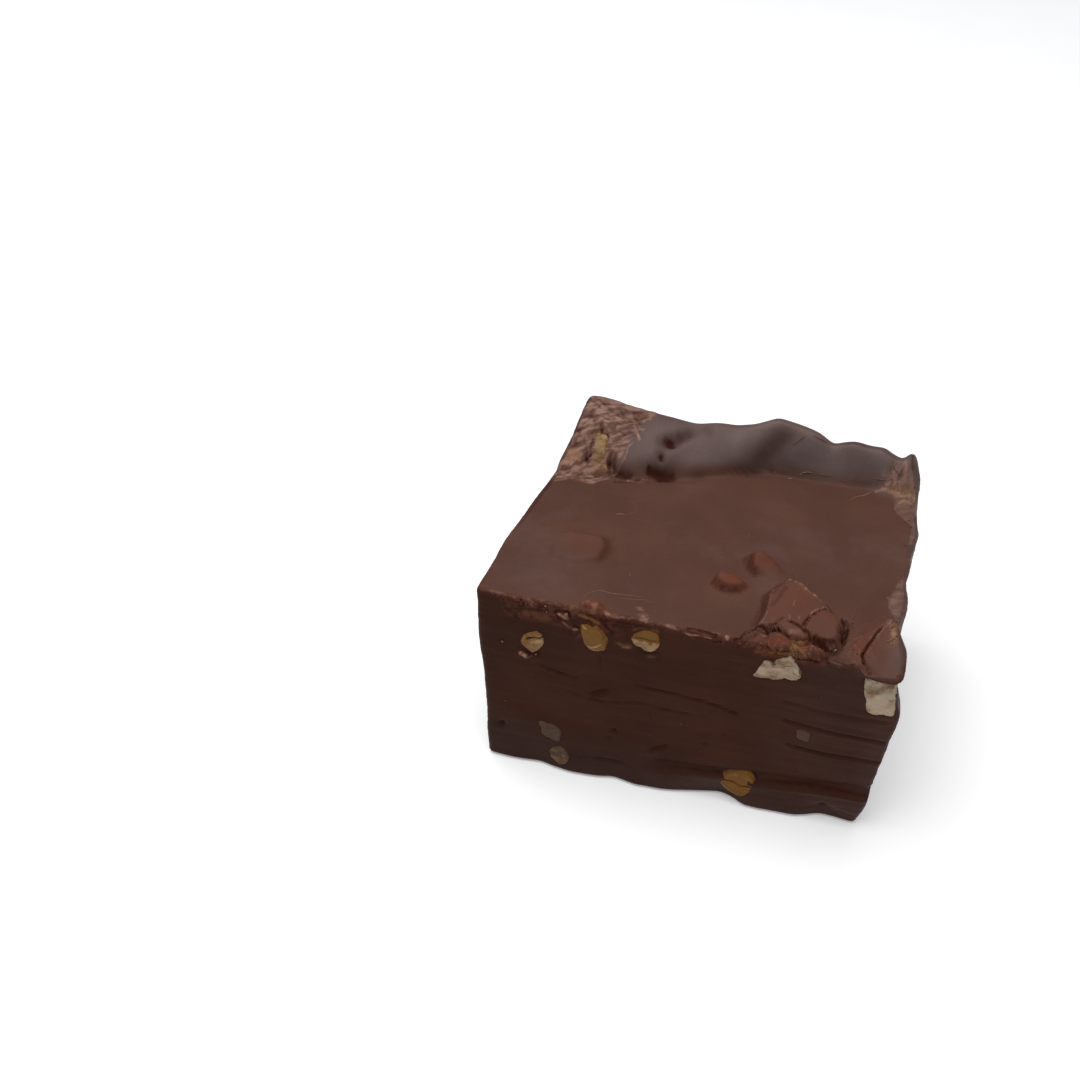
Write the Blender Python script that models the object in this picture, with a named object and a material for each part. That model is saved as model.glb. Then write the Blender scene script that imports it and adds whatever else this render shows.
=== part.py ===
"""Rocky road fudge: one hand-cut block from the edge of a slab.

The top is the slab's poured surface, with a thick rim along the back where it met the tray, and lumps
where marshmallow and nuts lie under it. The front, left and right are knife cuts that show the
marshmallow and nuts. Every length here is in millimetres, and becomes metres when a mesh is made.
The front faces -Y, the tray's rim is at +Y, and the block stands on Z = 0.
"""

import math
from collections import namedtuple

import bmesh
import bpy
import numpy as np
from mathutils import Euler, Vector

MM = 0.001

# The block's corners in plan, at the height of the poured surface
FRONT_LEFT = (-31.7, -23.0)
FRONT_RIGHT = (31.0, -23.0)
BACK_RIGHT = (31.6, 24.0)
BACK_LEFT = (-27.2, 22.3)
SLAB_HEIGHT = 35.0
PLAN_CENTRE = (0.387, -0.541)  # where the middle of the finished block's box lies in plan

# Edge radii: knife cuts are nearly sharp, and the tray's side is rounder
CORNER_CUT = 0.35
TOP_EDGE_RADIUS = 0.7
BACK_EDGE_RADIUS = 2.2
FOOT_RADIUS = 0.6
ROUGHNESS = 0.18

# Cells of the block's surface
CELLS_WIDE = 41
CELLS_DEEP = 31
WALL_LEVELS = 15
LARGE_PIECE = 6.2  # pieces this wide or more get the finer mesh

# The rim along the back: where it starts, and how high its crest stands above the poured surface
RIM_FOOT = (
    (-31.0, 8.6), (-18.0, 9.4), (-12.0, 10.6), (-3.0, 14.4),
    (3.0, 17.0), (8.0, 18.0), (14.0, 17.6), (32.0, 18.2),
)
RIM_CREST = (
    (-31.0, 6.8), (-27.4, 7.4), (-26.2, 8.3), (-24.8, 8.6), (-22.5, 8.5), (-19.0, 7.8), (-13.5, 6.4),
    (-6.0, 5.9), (0.0, 6.3), (3.5, 7.1), (7.0, 8.8), (10.5, 8.1), (16.0, 6.0), (20.0, 6.5), (24.5, 5.7),
    (27.0, 4.3), (29.0, 3.8), (30.0, 4.6), (31.0, 3.4), (32.0, 2.0),
)
RIM_CREST_INSET = 2.4  # from the block's back edge to the crest
RIM_CREASE_END = 9.0  # the rim rises from a sharp crease left of this, and in a soft curve right of it
RIM_END_LEAN = 0.38  # how far the rim's right end leans in, for each millimetre of height
LEFT_LEAN = ((0.0, 0.0), (3.5, -1.33), (6.0, -1.75), (9.5, -1.95))  # height above the surface, rim's left end

# The cut front's foot: how far it stands out past, or falls short of, a plain cut
FOOT_PROFILE = (
    (-30.0, 1.9), (-25.0, 1.8), (-21.0, 1.5), (-18.9, 2.0), (-16.0, 2.3), (-10.8, 1.9), (-8.8, 1.4),
    (-5.0, 2.1), (-2.8, 1.7), (1.1, 1.1), (4.8, 0.2), (8.6, -0.8), (10.6, -0.3), (12.8, 1.0),
    (20.4, 0.6), (22.2, 0.0), (24.5, -1.0), (26.0, -0.9), (29.7, -0.5),
)
FACE_LEAN_LEFT, FACE_LEAN_RIGHT = 1.7, 0.3  # how far the front's foot stands out at its two ends

# The right side near the front corner, by height, and along its top edge, by depth
CORNER_PROFILE = (
    (0.0, -0.9), (1.2, -0.5), (4.5, 0.0), (10.4, 0.3), (13.4, 0.5), (16.3, 0.9), (21.8, 1.2),
    (25.5, 1.2), (28.0, 0.4), (29.6, -0.7), (31.0, -1.9), (32.2, -1.9), (33.4, 0.4), (35.2, 0.4), (36.4, -0.5),
    (38.0, -1.3),
)
SIDE_PROFILE = (
    (-19.0, -0.8), (-16.6, -1.6), (-14.1, -0.9), (-11.4, -0.4), (-8.6, -0.2), (-6.0, -0.3), (-3.2, -0.6), (-0.3, -0.2),
    (2.6, -0.4), (5.8, 0.1), (9.0, 0.6), (12.1, 0.3), (15.2, 0.1), (24.0, 0.1),
)
LEDGE_LEFT, LEDGE_RIGHT = -6.0, 29.0  # the broken ledge along the foot of the front
LEDGE_HEIGHT_LEFT, LEDGE_HEIGHT_RIGHT = 4.2, 7.8
LEDGE_DEPTH = 1.1

# Soft mounds of the poured surface: centre, radii, turn in degrees, height
Mound = namedtuple("Mound", "x y wide deep turn tall")
MOUNDS = (
    Mound(-19.4, -11.4, 7.0, 6.2, 20, 1.1),
    Mound(11.6, -8.6, 4.6, 2.6, -40, 0.9),
    Mound(5.4, -11.8, 3.6, 2.6, -20, 0.5),
    Mound(24.5, 12.0, 6.0, 5.0, 0, 0.4),
    Mound(0.0, 3.0, 14.0, 9.0, 10, -0.5),
    Mound(30.3, 21.2, 1.0, 1.6, 0, 1.3),
)

# Dents of the rim's slope, with a negative height
DENTS = (
    Mound(-10.0, 16.6, 1.9, 1.1, 20, -1.1),
    Mound(-7.8, 18.2, 2.2, 0.8, 35, -0.6),
    Mound(-10.9, 14.3, 0.75, 0.6, 0, -0.8),
    Mound(-10.5, 12.5, 3.0, 1.1, 12, -1.4),
    Mound(-17.0, 10.7, 2.1, 0.8, 0, -0.8),
    Mound(-4.3, 14.2, 1.6, 0.5, 15, -0.5),
    Mound(5.4, 18.6, 3.2, 1.0, 27, -1.2),
    Mound(8.8, 20.2, 2.2, 0.9, 12, -0.7),
    Mound(16.5, 22.0, 1.8, 2.5, 0, -0.5),
    Mound(29.5, -24.5, 4.5, 3.0, 0, -1.2),
    Mound(22.6, -25.5, 4.6, 4.4, 0, -3.6),
)

# Lumps of the top as broken plates: the corners of each (x, y, z) with z above the poured surface, and
# how steeply its sides fall
Plate = namedtuple("Plate", "corners steepness")
PLATES = (
    Plate(((13.6, -11.3, 3.0), (11.3, -13.6, 2.6), (11.3, -16.9, 1.9), (10.4, -20.3, 0.9), (12.6, -19.7, 1.3),
           (16.3, -19.8, 1.7), (17.6, -16.9, 2.3), (19.3, -15.4, 2.7), (18.7, -14.6, 2.9), (17.1, -13.2, 3.1),
           (15.5, -11.8, 3.2)), 1.5),
    Plate(((17.7, -16.9, 2.5), (16.7, -19.6, 1.7), (18.1, -20.9, 1.2), (20.4, -21.2, 1.1), (22.0, -20.0, 1.4),
           (22.0, -18.2, 2.0), (20.8, -16.6, 2.6), (19.2, -16.1, 2.8)), 3.0),
    Plate(((12.7, -19.9, 1.1), (14.8, -21.2, 0.7), (16.5, -21.5, 0.8), (17.7, -20.9, 1.1), (16.3, -19.9, 1.7),
           (14.4, -19.0, 1.7)), 2.5),
    Plate(((12.1, -21.0, 0.9), (12.0, -22.4, 0.3), (12.9, -23.6, 0.0), (14.5, -23.6, 0.0), (15.4, -22.2, 0.5),
           (14.7, -21.1, 1.0), (13.3, -20.7, 1.1)), 2.2),
    Plate(((10.2, -21.4, 0.5), (10.6, -24.0, 0.0), (11.8, -24.0, 0.0), (12.0, -22.0, 0.4), (11.4, -20.8, 0.7)), 2.0),
    Plate(((16.6, -23.6, 0.0), (19.2, -23.2, 0.0), (19.8, -21.9, 0.5), (18.3, -21.6, 0.7), (16.9, -22.6, 0.3)), 1.6),
    Plate(((28.3, -16.0, 2.7), (27.3, -17.4, 2.4), (25.8, -20.2, 0.5), (26.6, -22.3, -0.7), (28.9, -24.0, -1.2),
           (31.2, -23.6, -1.2), (32.2, -21.4, -0.2), (30.4, -17.4, 2.3)), 0.9),
    Plate(((27.8, -15.8, 2.4), (25.0, -18.6, 0.8), (23.0, -21.0, -0.2), (24.6, -22.6, -1.0), (26.2, -22.0, -0.5),
           (27.4, -18.5, 1.9)), 0.7),
    Plate(((2.9, -12.3, 2.0), (3.6, -13.1, 1.7), (5.2, -13.2, 1.5), (7.0, -12.5, 1.2), (7.1, -11.8, 1.4),
           (5.6, -11.2, 2.0), (4.0, -11.0, 2.4), (3.1, -11.4, 2.3)), 3.4),
    Plate(((7.7, -6.1, 2.9), (7.9, -7.4, 2.2), (9.0, -8.8, 1.0), (11.6, -8.8, 0.7), (12.2, -7.4, 1.0),
           (10.4, -6.2, 2.2), (8.8, -5.5, 3.0)), 2.0),
    Plate(((-22.6, -11.0, 2.0), (-22.0, -13.4, 1.7), (-18.6, -14.2, 1.5), (-15.2, -12.4, 1.6), (-14.9, -10.0, 1.9),
           (-15.8, -8.2, 2.3), (-20.6, -8.6, 2.4)), 1.1),
    Plate(((-15.2, -22.0, 1.0), (-14.9, -24.4, 0.9), (-12.6, -24.4, 0.9), (-11.3, -23.6, 0.9), (-12.7, -21.7, 1.2),
           (-14.0, -21.3, 1.2)), 1.8),
)
PLATE_BLEND = (0.12, 0.12, 0.12, 0.10, 0.10, 0.15, 0.35, 0.60, 0.25, 0.60, 0.70, 0.15)
LEAST_BLEND = 0.3

# Marshmallow and nuts that the cuts show. Width runs along the face and turn is in degrees. A piece
# lies with its widest part just inside the cut, and proud is how far its cut side stands out.
Inclusion = namedtuple("Inclusion", "name kind face along height wide tall deep turn proud seed")
INCLUSIONS = (
    Inclusion("marshmallow_front", "marshmallow", "front", 14.4, 31.1, 7.9, 5.4, 5.6, 4, 0.15, 3),
    Inclusion("marshmallow_corner", "marshmallow", "front", 28.9, 29.3, 4.2, 7.2, 5.0, 0, -0.10, 5),
    Inclusion("nut_front_1", "nut", "front", -22.7, 26.9, 4.3, 4.5, 3.4, 20, 0.10, 11),
    Inclusion("nut_front_2", "nut", "front", -12.9, 30.0, 5.0, 5.9, 4.0, 8, 0.15, 12),
    Inclusion("nut_front_3", "nut", "front", -5.2, 31.5, 5.1, 4.3, 3.6, 10, 0.10, 13),
    Inclusion("nut_front_4", "nut", "front", -20.4, 8.2, 5.0, 2.0, 2.4, -58, 0.00, 14),
    Inclusion("nut_front_5", "nut", "front", -17.9, 3.2, 3.0, 3.8, 2.6, 10, 0.10, 15),
    Inclusion("nut_front_6", "nut", "front", 11.1, 4.9, 5.4, 5.1, 3.6, 8, 0.35, 16),
    Inclusion("nut_front_7", "nut", "front", 19.7, 17.9, 3.9, 1.8, 2.2, -46, 0.00, 17),
    Inclusion("marshmallow_left", "marshmallow", "left", -6.0, 28.6, 8.2, 6.4, 5.2, 14, 0.10, 21),
    Inclusion("nut_left_1", "nut", "left", 12.5, 26.0, 5.4, 3.0, 3.2, -20, 0.10, 22),
    Inclusion("nut_left_2", "nut", "left", -15.5, 17.5, 4.4, 3.2, 3.0, 30, 0.10, 23),
    Inclusion("nut_left_3", "nut", "left", 3.5, 14.5, 3.6, 2.2, 2.6, -35, 0.05, 24),
    Inclusion("nut_left_4", "nut", "left", 15.5, 7.0, 4.8, 3.6, 3.2, 10, 0.15, 25),
    Inclusion("nut_left_5", "nut", "left", -9.5, 5.2, 5.6, 2.4, 2.8, -12, 0.05, 26),
    Inclusion("marshmallow_right", "marshmallow", "right", 7.5, 29.4, 7.4, 5.6, 5.0, -8, 0.10, 31),
    Inclusion("nut_right_1", "nut", "right", -8.5, 24.0, 4.6, 3.4, 3.2, 24, 0.10, 32),
    Inclusion("nut_right_2", "nut", "right", 16.0, 19.5, 5.2, 2.4, 2.8, -28, 0.05, 33),
    Inclusion("nut_right_3", "nut", "right", 2.0, 12.8, 4.0, 3.0, 2.8, 40, 0.10, 34),
    Inclusion("nut_right_4", "nut", "right", -14.0, 8.0, 5.0, 3.2, 3.0, -14, 0.10, 35),
    Inclusion("nut_right_5", "nut", "right", 14.5, 5.0, 3.6, 2.6, 2.6, 15, 0.05, 36),
)
POCKET_GAP = 0.45  # between a piece and its pocket in the fudge

# A nut sliver bared where the rim's left end was scraped
RIM_NUT_PLACE = (-20.9, 13.0)
RIM_NUT_SIZE = (2.0, 2.7, 1.7)
RIM_NUT_TURN = 12
RIM_NUT_SEED = 41

# Colour, roughness
MATERIALS = {
    "fudge": ((0.085, 0.037, 0.026), 0.42),
    "marshmallow": ((0.55, 0.47, 0.36), 0.85),
    "nut": ((0.46, 0.30, 0.12), 0.55),
}

LATTICE = np.random.default_rng(7).random((32, 32, 32))


def smooth_noise(points, size, shift=0.0):
    """Noise from -1 to 1 at each row of points, with lumps about size across."""
    scaled = np.asarray(points, float) / size + shift
    cell = np.floor(scaled).astype(int)
    inside = scaled - cell
    inside = inside * inside * (3 - 2 * inside)
    total = np.zeros(len(scaled))
    for corner in np.ndindex(2, 2, 2):
        weight = np.prod(np.where(corner, inside, 1 - inside), axis=1)
        i, j, k = ((cell + corner) % len(LATTICE)).T
        total += weight * LATTICE[i, j, k]
    return 2 * total - 1


def ease(t):
    """0 to 1 in a soft S as t goes from 0 to 1."""
    t = np.clip(t, 0.0, 1.0)
    return t * t * (3 - 2 * t)


def along_profile(x, profile):
    """A smooth value at x from a profile's (place, value) points."""
    places, values = np.array(profile).T
    spread = np.linspace(-1.0, 1.0, 5)
    weights = np.cos(spread * math.pi / 2) + 0.2
    near = [w * np.interp(x + s, places, values) for s, w in zip(spread, weights)]
    return sum(near) / weights.sum()


def smooth_max(a, b, blend):
    """The larger of a and b, with the corner between them rounded over blend."""
    h = np.clip(0.5 + 0.5 * (a - b) / blend, 0.0, 1.0)
    return b * (1 - h) + a * h + blend * h * (1 - h)


def side_line(face, along):
    """Where the plain cut of a face stands: Y for front and back, X for left and right."""
    ends = {
        "front": (FRONT_LEFT, FRONT_RIGHT, 0),
        "back": (BACK_LEFT, BACK_RIGHT, 0),
        "left": (FRONT_LEFT, BACK_LEFT, 1),
        "right": (FRONT_RIGHT, BACK_RIGHT, 1),
    }
    start, end, axis = ends[face]
    t = (along - start[axis]) / (end[axis] - start[axis])
    return start[1 - axis] + t * (end[1 - axis] - start[1 - axis])


def mound_height(x, y, mound):
    """A smooth bump or dent."""
    turn = math.radians(mound.turn)
    dx, dy = x - mound.x, y - mound.y
    u = (dx * math.cos(turn) + dy * math.sin(turn)) / mound.wide
    v = (dy * math.cos(turn) - dx * math.sin(turn)) / mound.deep
    return mound.tall * np.exp(-1.2 * (u * u + v * v))


def path_distance(u, v, path):
    """How far each point is from a path of straight lines."""
    best = np.full(len(u), 1e3)
    for (u0, v0), (u1, v1) in zip(path, path[1:]):
        du, dv = u1 - u0, v1 - v0
        t = np.clip(((u - u0) * du + (v - v0) * dv) / (du * du + dv * dv), 0.0, 1.0)
        best = np.minimum(best, np.hypot(u - u0 - t * du, v - v0 - t * dv))
    return best


def outline_depth(u, v, outline):
    """How far inside a closed outline each point lies; negative outside it."""
    closed = np.array(list(outline) + [outline[0]])
    distance = path_distance(u, v, closed)
    crossings = np.zeros(len(u), int)
    for (u0, v0), (u1, v1) in zip(closed, closed[1:]):
        spans = (v0 > v) != (v1 > v)
        reached = u0 + (v - v0) * (u1 - u0) / (v1 - v0 + 1e-12)
        crossings += spans & (u < reached)
    return np.where(crossings % 2, distance, -distance)


def plate_height(x, y, plate):
    """A broken plate: a plane through its corners that falls steeply outside its outline."""
    corners = np.array(plate.corners)
    plane, *_ = np.linalg.lstsq(np.column_stack([corners[:, :2], np.ones(len(corners))]), corners[:, 2], rcond=None)
    depth = outline_depth(x, y, corners[:, :2])
    return plane[0] * x + plane[1] * y + plane[2] + plate.steepness * np.minimum(depth, 0.0)


def rim_height(x, y):
    """The thick rim along the tray's side."""
    foot = along_profile(x, RIM_FOOT)
    crest = along_profile(x, RIM_CREST)
    crest_line = side_line("back", x) - RIM_CREST_INSET
    t = np.clip((y - foot) / (crest_line - foot), 0.0, 1.0)
    creased = t * (1.35 - 0.35 * t) + 0.06 * np.sin(t * math.pi)
    soft = 0.55 * ease(t) + 0.45 * t
    share = ease((RIM_CREASE_END + 4.0 - x) / 8.0)
    return crest * (share * creased + (1 - share) * soft)


def top_height(x, y):
    """The poured surface, with its rim, mounds and lumps."""
    flat = np.stack([x, y, np.zeros_like(x)], axis=1)
    height = 0.22 * smooth_noise(flat, 13.0) + 0.08 * smooth_noise(flat, 5.0, 9.3)
    height += sum(mound_height(x, y, m) for m in MOUNDS)
    rim = rim_height(x, y)
    height += rim + ease(rim) * 0.35 * smooth_noise(flat, 4.0, 3.7)
    height += sum(mound_height(x, y, d) for d in DENTS)
    for plate, blend in zip(PLATES, PLATE_BLEND):
        height = smooth_max(plate_height(x, y, plate), height, max(blend, LEAST_BLEND))
    return SLAB_HEIGHT + height


def ledge_line(x):
    """The height of the ledge along the foot of the front."""
    t = (x - LEDGE_LEFT) / (LEDGE_RIGHT - LEDGE_LEFT)
    return LEDGE_HEIGHT_LEFT + t * (LEDGE_HEIGHT_RIGHT - LEDGE_HEIGHT_LEFT)


def front_push(x, z):
    """How far the front stands out past its plain cut."""
    up = np.clip(z / SLAB_HEIGHT, 0.0, 1.1)
    foot = along_profile(x, FOOT_PROFILE)
    lean = FACE_LEAN_LEFT + (FACE_LEAN_RIGHT - FACE_LEAN_LEFT) * ease((x + 30.0) / 60.0)
    push = lean * (1 - up) + (foot - lean) * ease(1 - z / 7.0)
    there = ease((x - LEDGE_LEFT) / 6.0) * ease((SLAB_HEIGHT - x) / 4.0)
    below = ease(0.5 + (ledge_line(x) - z) / 1.0)
    above = np.exp(-(((z - ledge_line(x) - 0.9) / 0.9) ** 2))
    push += there * (0.45 * LEDGE_DEPTH * below - 0.55 * LEDGE_DEPTH * above)
    overhang = ease((x - 24.0) / 2.5) * ease((z - 32.5) / 0.9)
    return push + 1.1 * overhang


def right_push(y, z):
    """How far the right side stands out: uneven along its top edge, bulging at the front corner."""
    at_corner = ease((-14.5 - y) / 5.0)
    lean = -1.4 * (1 - z / SLAB_HEIGHT)
    plain = along_profile(y, SIDE_PROFILE) * ease((z - 16.0) / 16.0) + lean
    rim_lean = -RIM_END_LEAN * np.maximum(z - SLAB_HEIGHT, 0.0) * ease((y - 10.0) / 6.0)
    return at_corner * along_profile(z, CORNER_PROFILE) + (1 - at_corner) * plain + rim_lean


def left_push(y, z):
    """How far the left side stands out."""
    lean = 0.55 * ease((25.0 - z) / 10.0) + 0.35 * ease((6.0 - z) / 6.0) + 0.8 * (1 - z / SLAB_HEIGHT)
    rim_lean = np.interp(z - SLAB_HEIGHT, *np.array(LEFT_LEAN).T) * ease((y - 6.0) / 6.0)
    return 0.3 * np.sin((y + 23.0) / 7.0) * ease(z / 20.0) - lean + rim_lean


def back_push(x, z):
    """The tray's side: a slight draft and the shallow waves of its lining."""
    return -1.2 * (1 - z / SLAB_HEIGHT) + 0.25 * np.sin(x / 4.3) * ease(z / 12.0)


PUSHES = {"front": front_push, "right": right_push, "left": left_push, "back": back_push}
OUTWARD = {"front": (0, -1), "right": (1, 0), "left": (-1, 0), "back": (0, 1)}


def wall_place(face, along, z):
    """The point of a finished wall at a place along it and a height."""
    push = float(PUSHES[face](np.array([along]), np.array([z]))[0])
    plain = side_line(face, along)
    if face in ("front", "back"):
        y = plain + OUTWARD[face][1] * push
        return Vector((along, y + ROUGHNESS * smooth_noise([[along, y, z]], 6.0, 8.2)[0], z))
    x = plain + OUTWARD[face][0] * push
    return Vector((x + ROUGHNESS * smooth_noise([[x, along, z]], 6.0, 1.7)[0], along, z))


def plan_place(across, back):
    """The plain plan place for shares of the width and the depth, with its upright corners taken off."""
    corners = np.array([FRONT_LEFT, FRONT_RIGHT, BACK_LEFT, BACK_RIGHT])
    weights = np.stack([(1 - across) * (1 - back), across * (1 - back), (1 - across) * back, across * back])
    places = np.tensordot(weights.T, corners, axes=1)
    at_corner = (np.abs(across - 0.5) > 0.4999) & (np.abs(back - 0.5) > 0.4999)
    inward = np.stack([np.sign(0.5 - across), np.sign(0.5 - back)], axis=1)
    return places + CORNER_CUT * inward * at_corner[:, None]


def shaped_place(across, back, z, inset):
    """The plan place with the relief of the four walls, which fades from each wall to the opposite one.

    The inset moves each wall inward by a share of its own edge radius.
    """
    plain = plan_place(across, back)
    place = plain
    for _ in range(3):
        x, y = place.T
        rough_x = ROUGHNESS * smooth_noise(np.stack([x, y, z], axis=1), 6.0, 1.7)
        rough_y = ROUGHNESS * smooth_noise(np.stack([x, y, z], axis=1), 6.0, 8.2)
        left = inset * TOP_EDGE_RADIUS - left_push(y, z)
        right = right_push(y, z) - inset * TOP_EDGE_RADIUS
        front = inset * TOP_EDGE_RADIUS - front_push(x, z)
        rear = back_push(x, z) - inset * BACK_EDGE_RADIUS
        move_x = (1 - across) * (left + rough_x) + across * (right + rough_x)
        move_y = (1 - back) * (front + rough_y) + back * (rear + rough_y)
        place = plain + np.stack([move_x, move_y], axis=1)
    return place


def outline_shares():
    """Shares of width and depth round the block's outline, anticlockwise from the front left corner."""
    wide = [i / CELLS_WIDE for i in range(CELLS_WIDE)]
    deep = [j / CELLS_DEEP for j in range(CELLS_DEEP)]
    shares = [(w, 0.0) for w in wide] + [(1.0, d) for d in deep]
    shares += [(1 - w, 1.0) for w in wide] + [(0.0, 1 - d) for d in deep]
    return np.array(shares).T


def top_place(across, back):
    """Points of the top, whose edge lies inside the walls by the edge radii."""
    z = np.full(len(across), SLAB_HEIGHT)
    for _ in range(3):
        place = shaped_place(across, back, z, np.ones(len(z)))
        z = top_height(*place.T)
    return np.column_stack([place, z])


def wall_rings():
    """The rings from the foot to the top edge."""
    across, back = outline_shares()
    edge = top_place(across, back)
    crown = edge[:, 2]
    radius = TOP_EDGE_RADIUS + (BACK_EDGE_RADIUS - TOP_EDGE_RADIUS) * ease((back - 0.8) / 0.2)
    still = np.zeros(len(across))
    foot = shaped_place(across, back, still, still + FOOT_RADIUS / TOP_EDGE_RADIUS)
    rings = [np.column_stack([foot, still])]
    for step in range(WALL_LEVELS):
        level = step / (WALL_LEVELS - 1)
        z = FOOT_RADIUS + level * (crown - radius - FOOT_RADIUS)
        rings.append(np.column_stack([shaped_place(across, back, z, still), z]))
    z = crown - radius * (1 - math.sin(math.pi / 4))
    turning = still + 1 - math.cos(math.pi / 4)
    rings.append(np.column_stack([shaped_place(across, back, z, turning), z]))
    rings.append(edge)
    return rings


def top_inside():
    """The top's points inside its edge, column by column."""
    across, back = np.meshgrid(
        np.arange(1, CELLS_WIDE) / CELLS_WIDE, np.arange(1, CELLS_DEEP) / CELLS_DEEP, indexing="ij"
    )
    return top_place(across.ravel(), back.ravel()).reshape(CELLS_WIDE - 1, CELLS_DEEP - 1, 3)


def top_vertex(bm_top, ring, i, j):
    """The vertex at column i, row j of the top, which shares the last ring along its edge."""
    if j == 0:
        return ring[i]
    if i == CELLS_WIDE:
        return ring[CELLS_WIDE + j]
    if j == CELLS_DEEP:
        return ring[2 * CELLS_WIDE + CELLS_DEEP - i]
    if i == 0:
        return ring[(2 * CELLS_WIDE + 2 * CELLS_DEEP - j) % len(ring)]
    return bm_top[i - 1][j - 1]


def in_metres(point):
    """A point in the block's millimetres as metres about the middle of its foot."""
    return Vector((point[0] - PLAN_CENTRE[0], point[1] - PLAN_CENTRE[1], point[2])) * MM


def block_mesh():
    """The block as one closed mesh: a flat foot, walls of rings, and a grid on top."""
    bm = bmesh.new()
    rings = [[bm.verts.new(in_metres(p)) for p in ring] for ring in wall_rings()]
    inside = [[bm.verts.new(in_metres(p)) for p in column] for column in top_inside()]
    count = len(rings[0])
    bm.faces.new(reversed(rings[0]))
    for low, high in zip(rings, rings[1:]):
        for i in range(count):
            following = (i + 1) % count
            bm.faces.new((low[i], low[following], high[following], high[i]))
    for i in range(CELLS_WIDE):
        for j in range(CELLS_DEEP):
            corners = ((i, j), (i + 1, j), (i + 1, j + 1), (i, j + 1))
            bm.faces.new([top_vertex(inside, rings[-1], *corner) for corner in corners])
    mesh = bpy.data.meshes.new("fudge_block")
    bm.to_mesh(mesh)
    bm.free()
    return mesh


def lump_shape(kind, half_size, grow, seed):
    """A rough closed lump about its own middle: squarish for marshmallow, rounder for a nut."""
    bm = bmesh.new()
    fine = 2 * max(half_size) >= LARGE_PIECE
    bmesh.ops.create_icosphere(bm, subdivisions=3 if fine else 2, radius=1.0)
    square = 0.45 if kind == "marshmallow" else 0.12
    directions = np.array([v.co[:] for v in bm.verts])
    widest = np.abs(directions).max(axis=1)
    wobble = 1 + (0.07 if kind == "marshmallow" else 0.10) * smooth_noise(directions, 0.8, seed * 1.31)
    reach = wobble * ((1 - square) + square / widest)
    for vert, direction, length in zip(bm.verts, directions, reach):
        size = [direction[k] * length * (half_size[k] + grow) for k in range(3)]
        vert.co = Vector(size)
    return bm


def cut_flat(bm, point, normal):
    """Removes what lies past a plane and closes the cut with one flat face."""
    geometry = bm.verts[:] + bm.edges[:] + bm.faces[:]
    cut = bmesh.ops.bisect_plane(bm, geom=geometry, plane_co=point, plane_no=normal, clear_outer=True)
    edges = [e for e in cut["geom_cut"] if isinstance(e, bmesh.types.BMEdge)]
    bmesh.ops.edgeloop_fill(bm, edges=edges)


def face_rotation(face):
    """Turns a lump's own axes (along the face, outward, up) onto a face of the block."""
    turns = {"front": 0.0, "right": 90.0, "back": 180.0, "left": -90.0}
    return Euler((0.0, 0.0, math.radians(turns[face]))).to_matrix()


def inclusion_frame(item):
    """The piece's middle, and the point of the wall that it is cut at."""
    wall = wall_place(item.face, item.along, item.height)
    outward = Vector((*OUTWARD[item.face], 0.0))
    sunk = 0.12 * item.deep
    return wall - outward * sunk, wall, outward


def placed_lump(item, grow):
    """The whole lump of an inclusion in the block's frame, before the knife went through it."""
    half = (item.wide / 2, item.deep / 2, item.tall / 2)
    bm = lump_shape(item.kind, half, grow, item.seed)
    turned = Euler((0.0, -math.radians(item.turn), 0.0)).to_matrix()
    middle, _, _ = inclusion_frame(item)
    for vert in bm.verts:
        vert.co = middle + face_rotation(item.face) @ (turned @ vert.co)
    return bm


def finish_mesh(bm, name):
    """Moves a mesh to metres about the block's own origin, its faces all facing out."""
    bmesh.ops.recalc_face_normals(bm, faces=bm.faces)
    if bm.calc_volume(signed=True) < 0:
        bmesh.ops.reverse_faces(bm, faces=bm.faces)
    for vert in bm.verts:
        vert.co = in_metres(vert.co)
    mesh = bpy.data.meshes.new(name)
    bm.to_mesh(mesh)
    bm.free()
    return mesh


def make_material(name):
    """A Principled material with the slot's colour and roughness."""
    colour, roughness = MATERIALS[name]
    material = bpy.data.materials.new(name)
    material.use_nodes = True
    shader = material.node_tree.nodes["Principled BSDF"]
    shader.inputs["Base Color"].default_value = (*colour, 1.0)
    shader.inputs["Roughness"].default_value = roughness
    shader.inputs["Metallic"].default_value = 0.0
    material.diffuse_color = (*colour, 1.0)
    return material


def add_object(name, mesh, material, collection):
    """A named object in the collection."""
    made = bpy.data.objects.new(name, mesh)
    collection.objects.link(made)
    mesh.materials.append(material)
    return made


def add_inclusion(item, materials, pieces, pockets):
    """A piece of marshmallow or nut cut level with its face, and the pocket that it sits in."""
    piece = placed_lump(item, 0.0)
    _, wall, outward = inclusion_frame(item)
    cut_flat(piece, wall + outward * item.proud, outward)
    if item.name == "marshmallow_corner":
        side = wall_place("right", -21.0, item.height)
        cut_flat(piece, side, Vector((1.0, 0.0, 0.0)))
    add_object(item.name, finish_mesh(piece, item.name), materials[item.kind], pieces)
    pocket = placed_lump(item, POCKET_GAP)
    pocket_mesh = finish_mesh(pocket, "pocket_" + item.name)
    cutter = add_object("pocket_" + item.name, pocket_mesh, materials["fudge"], pockets)
    cutter.hide_render = True
    cutter.display_type = "WIRE"


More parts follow.
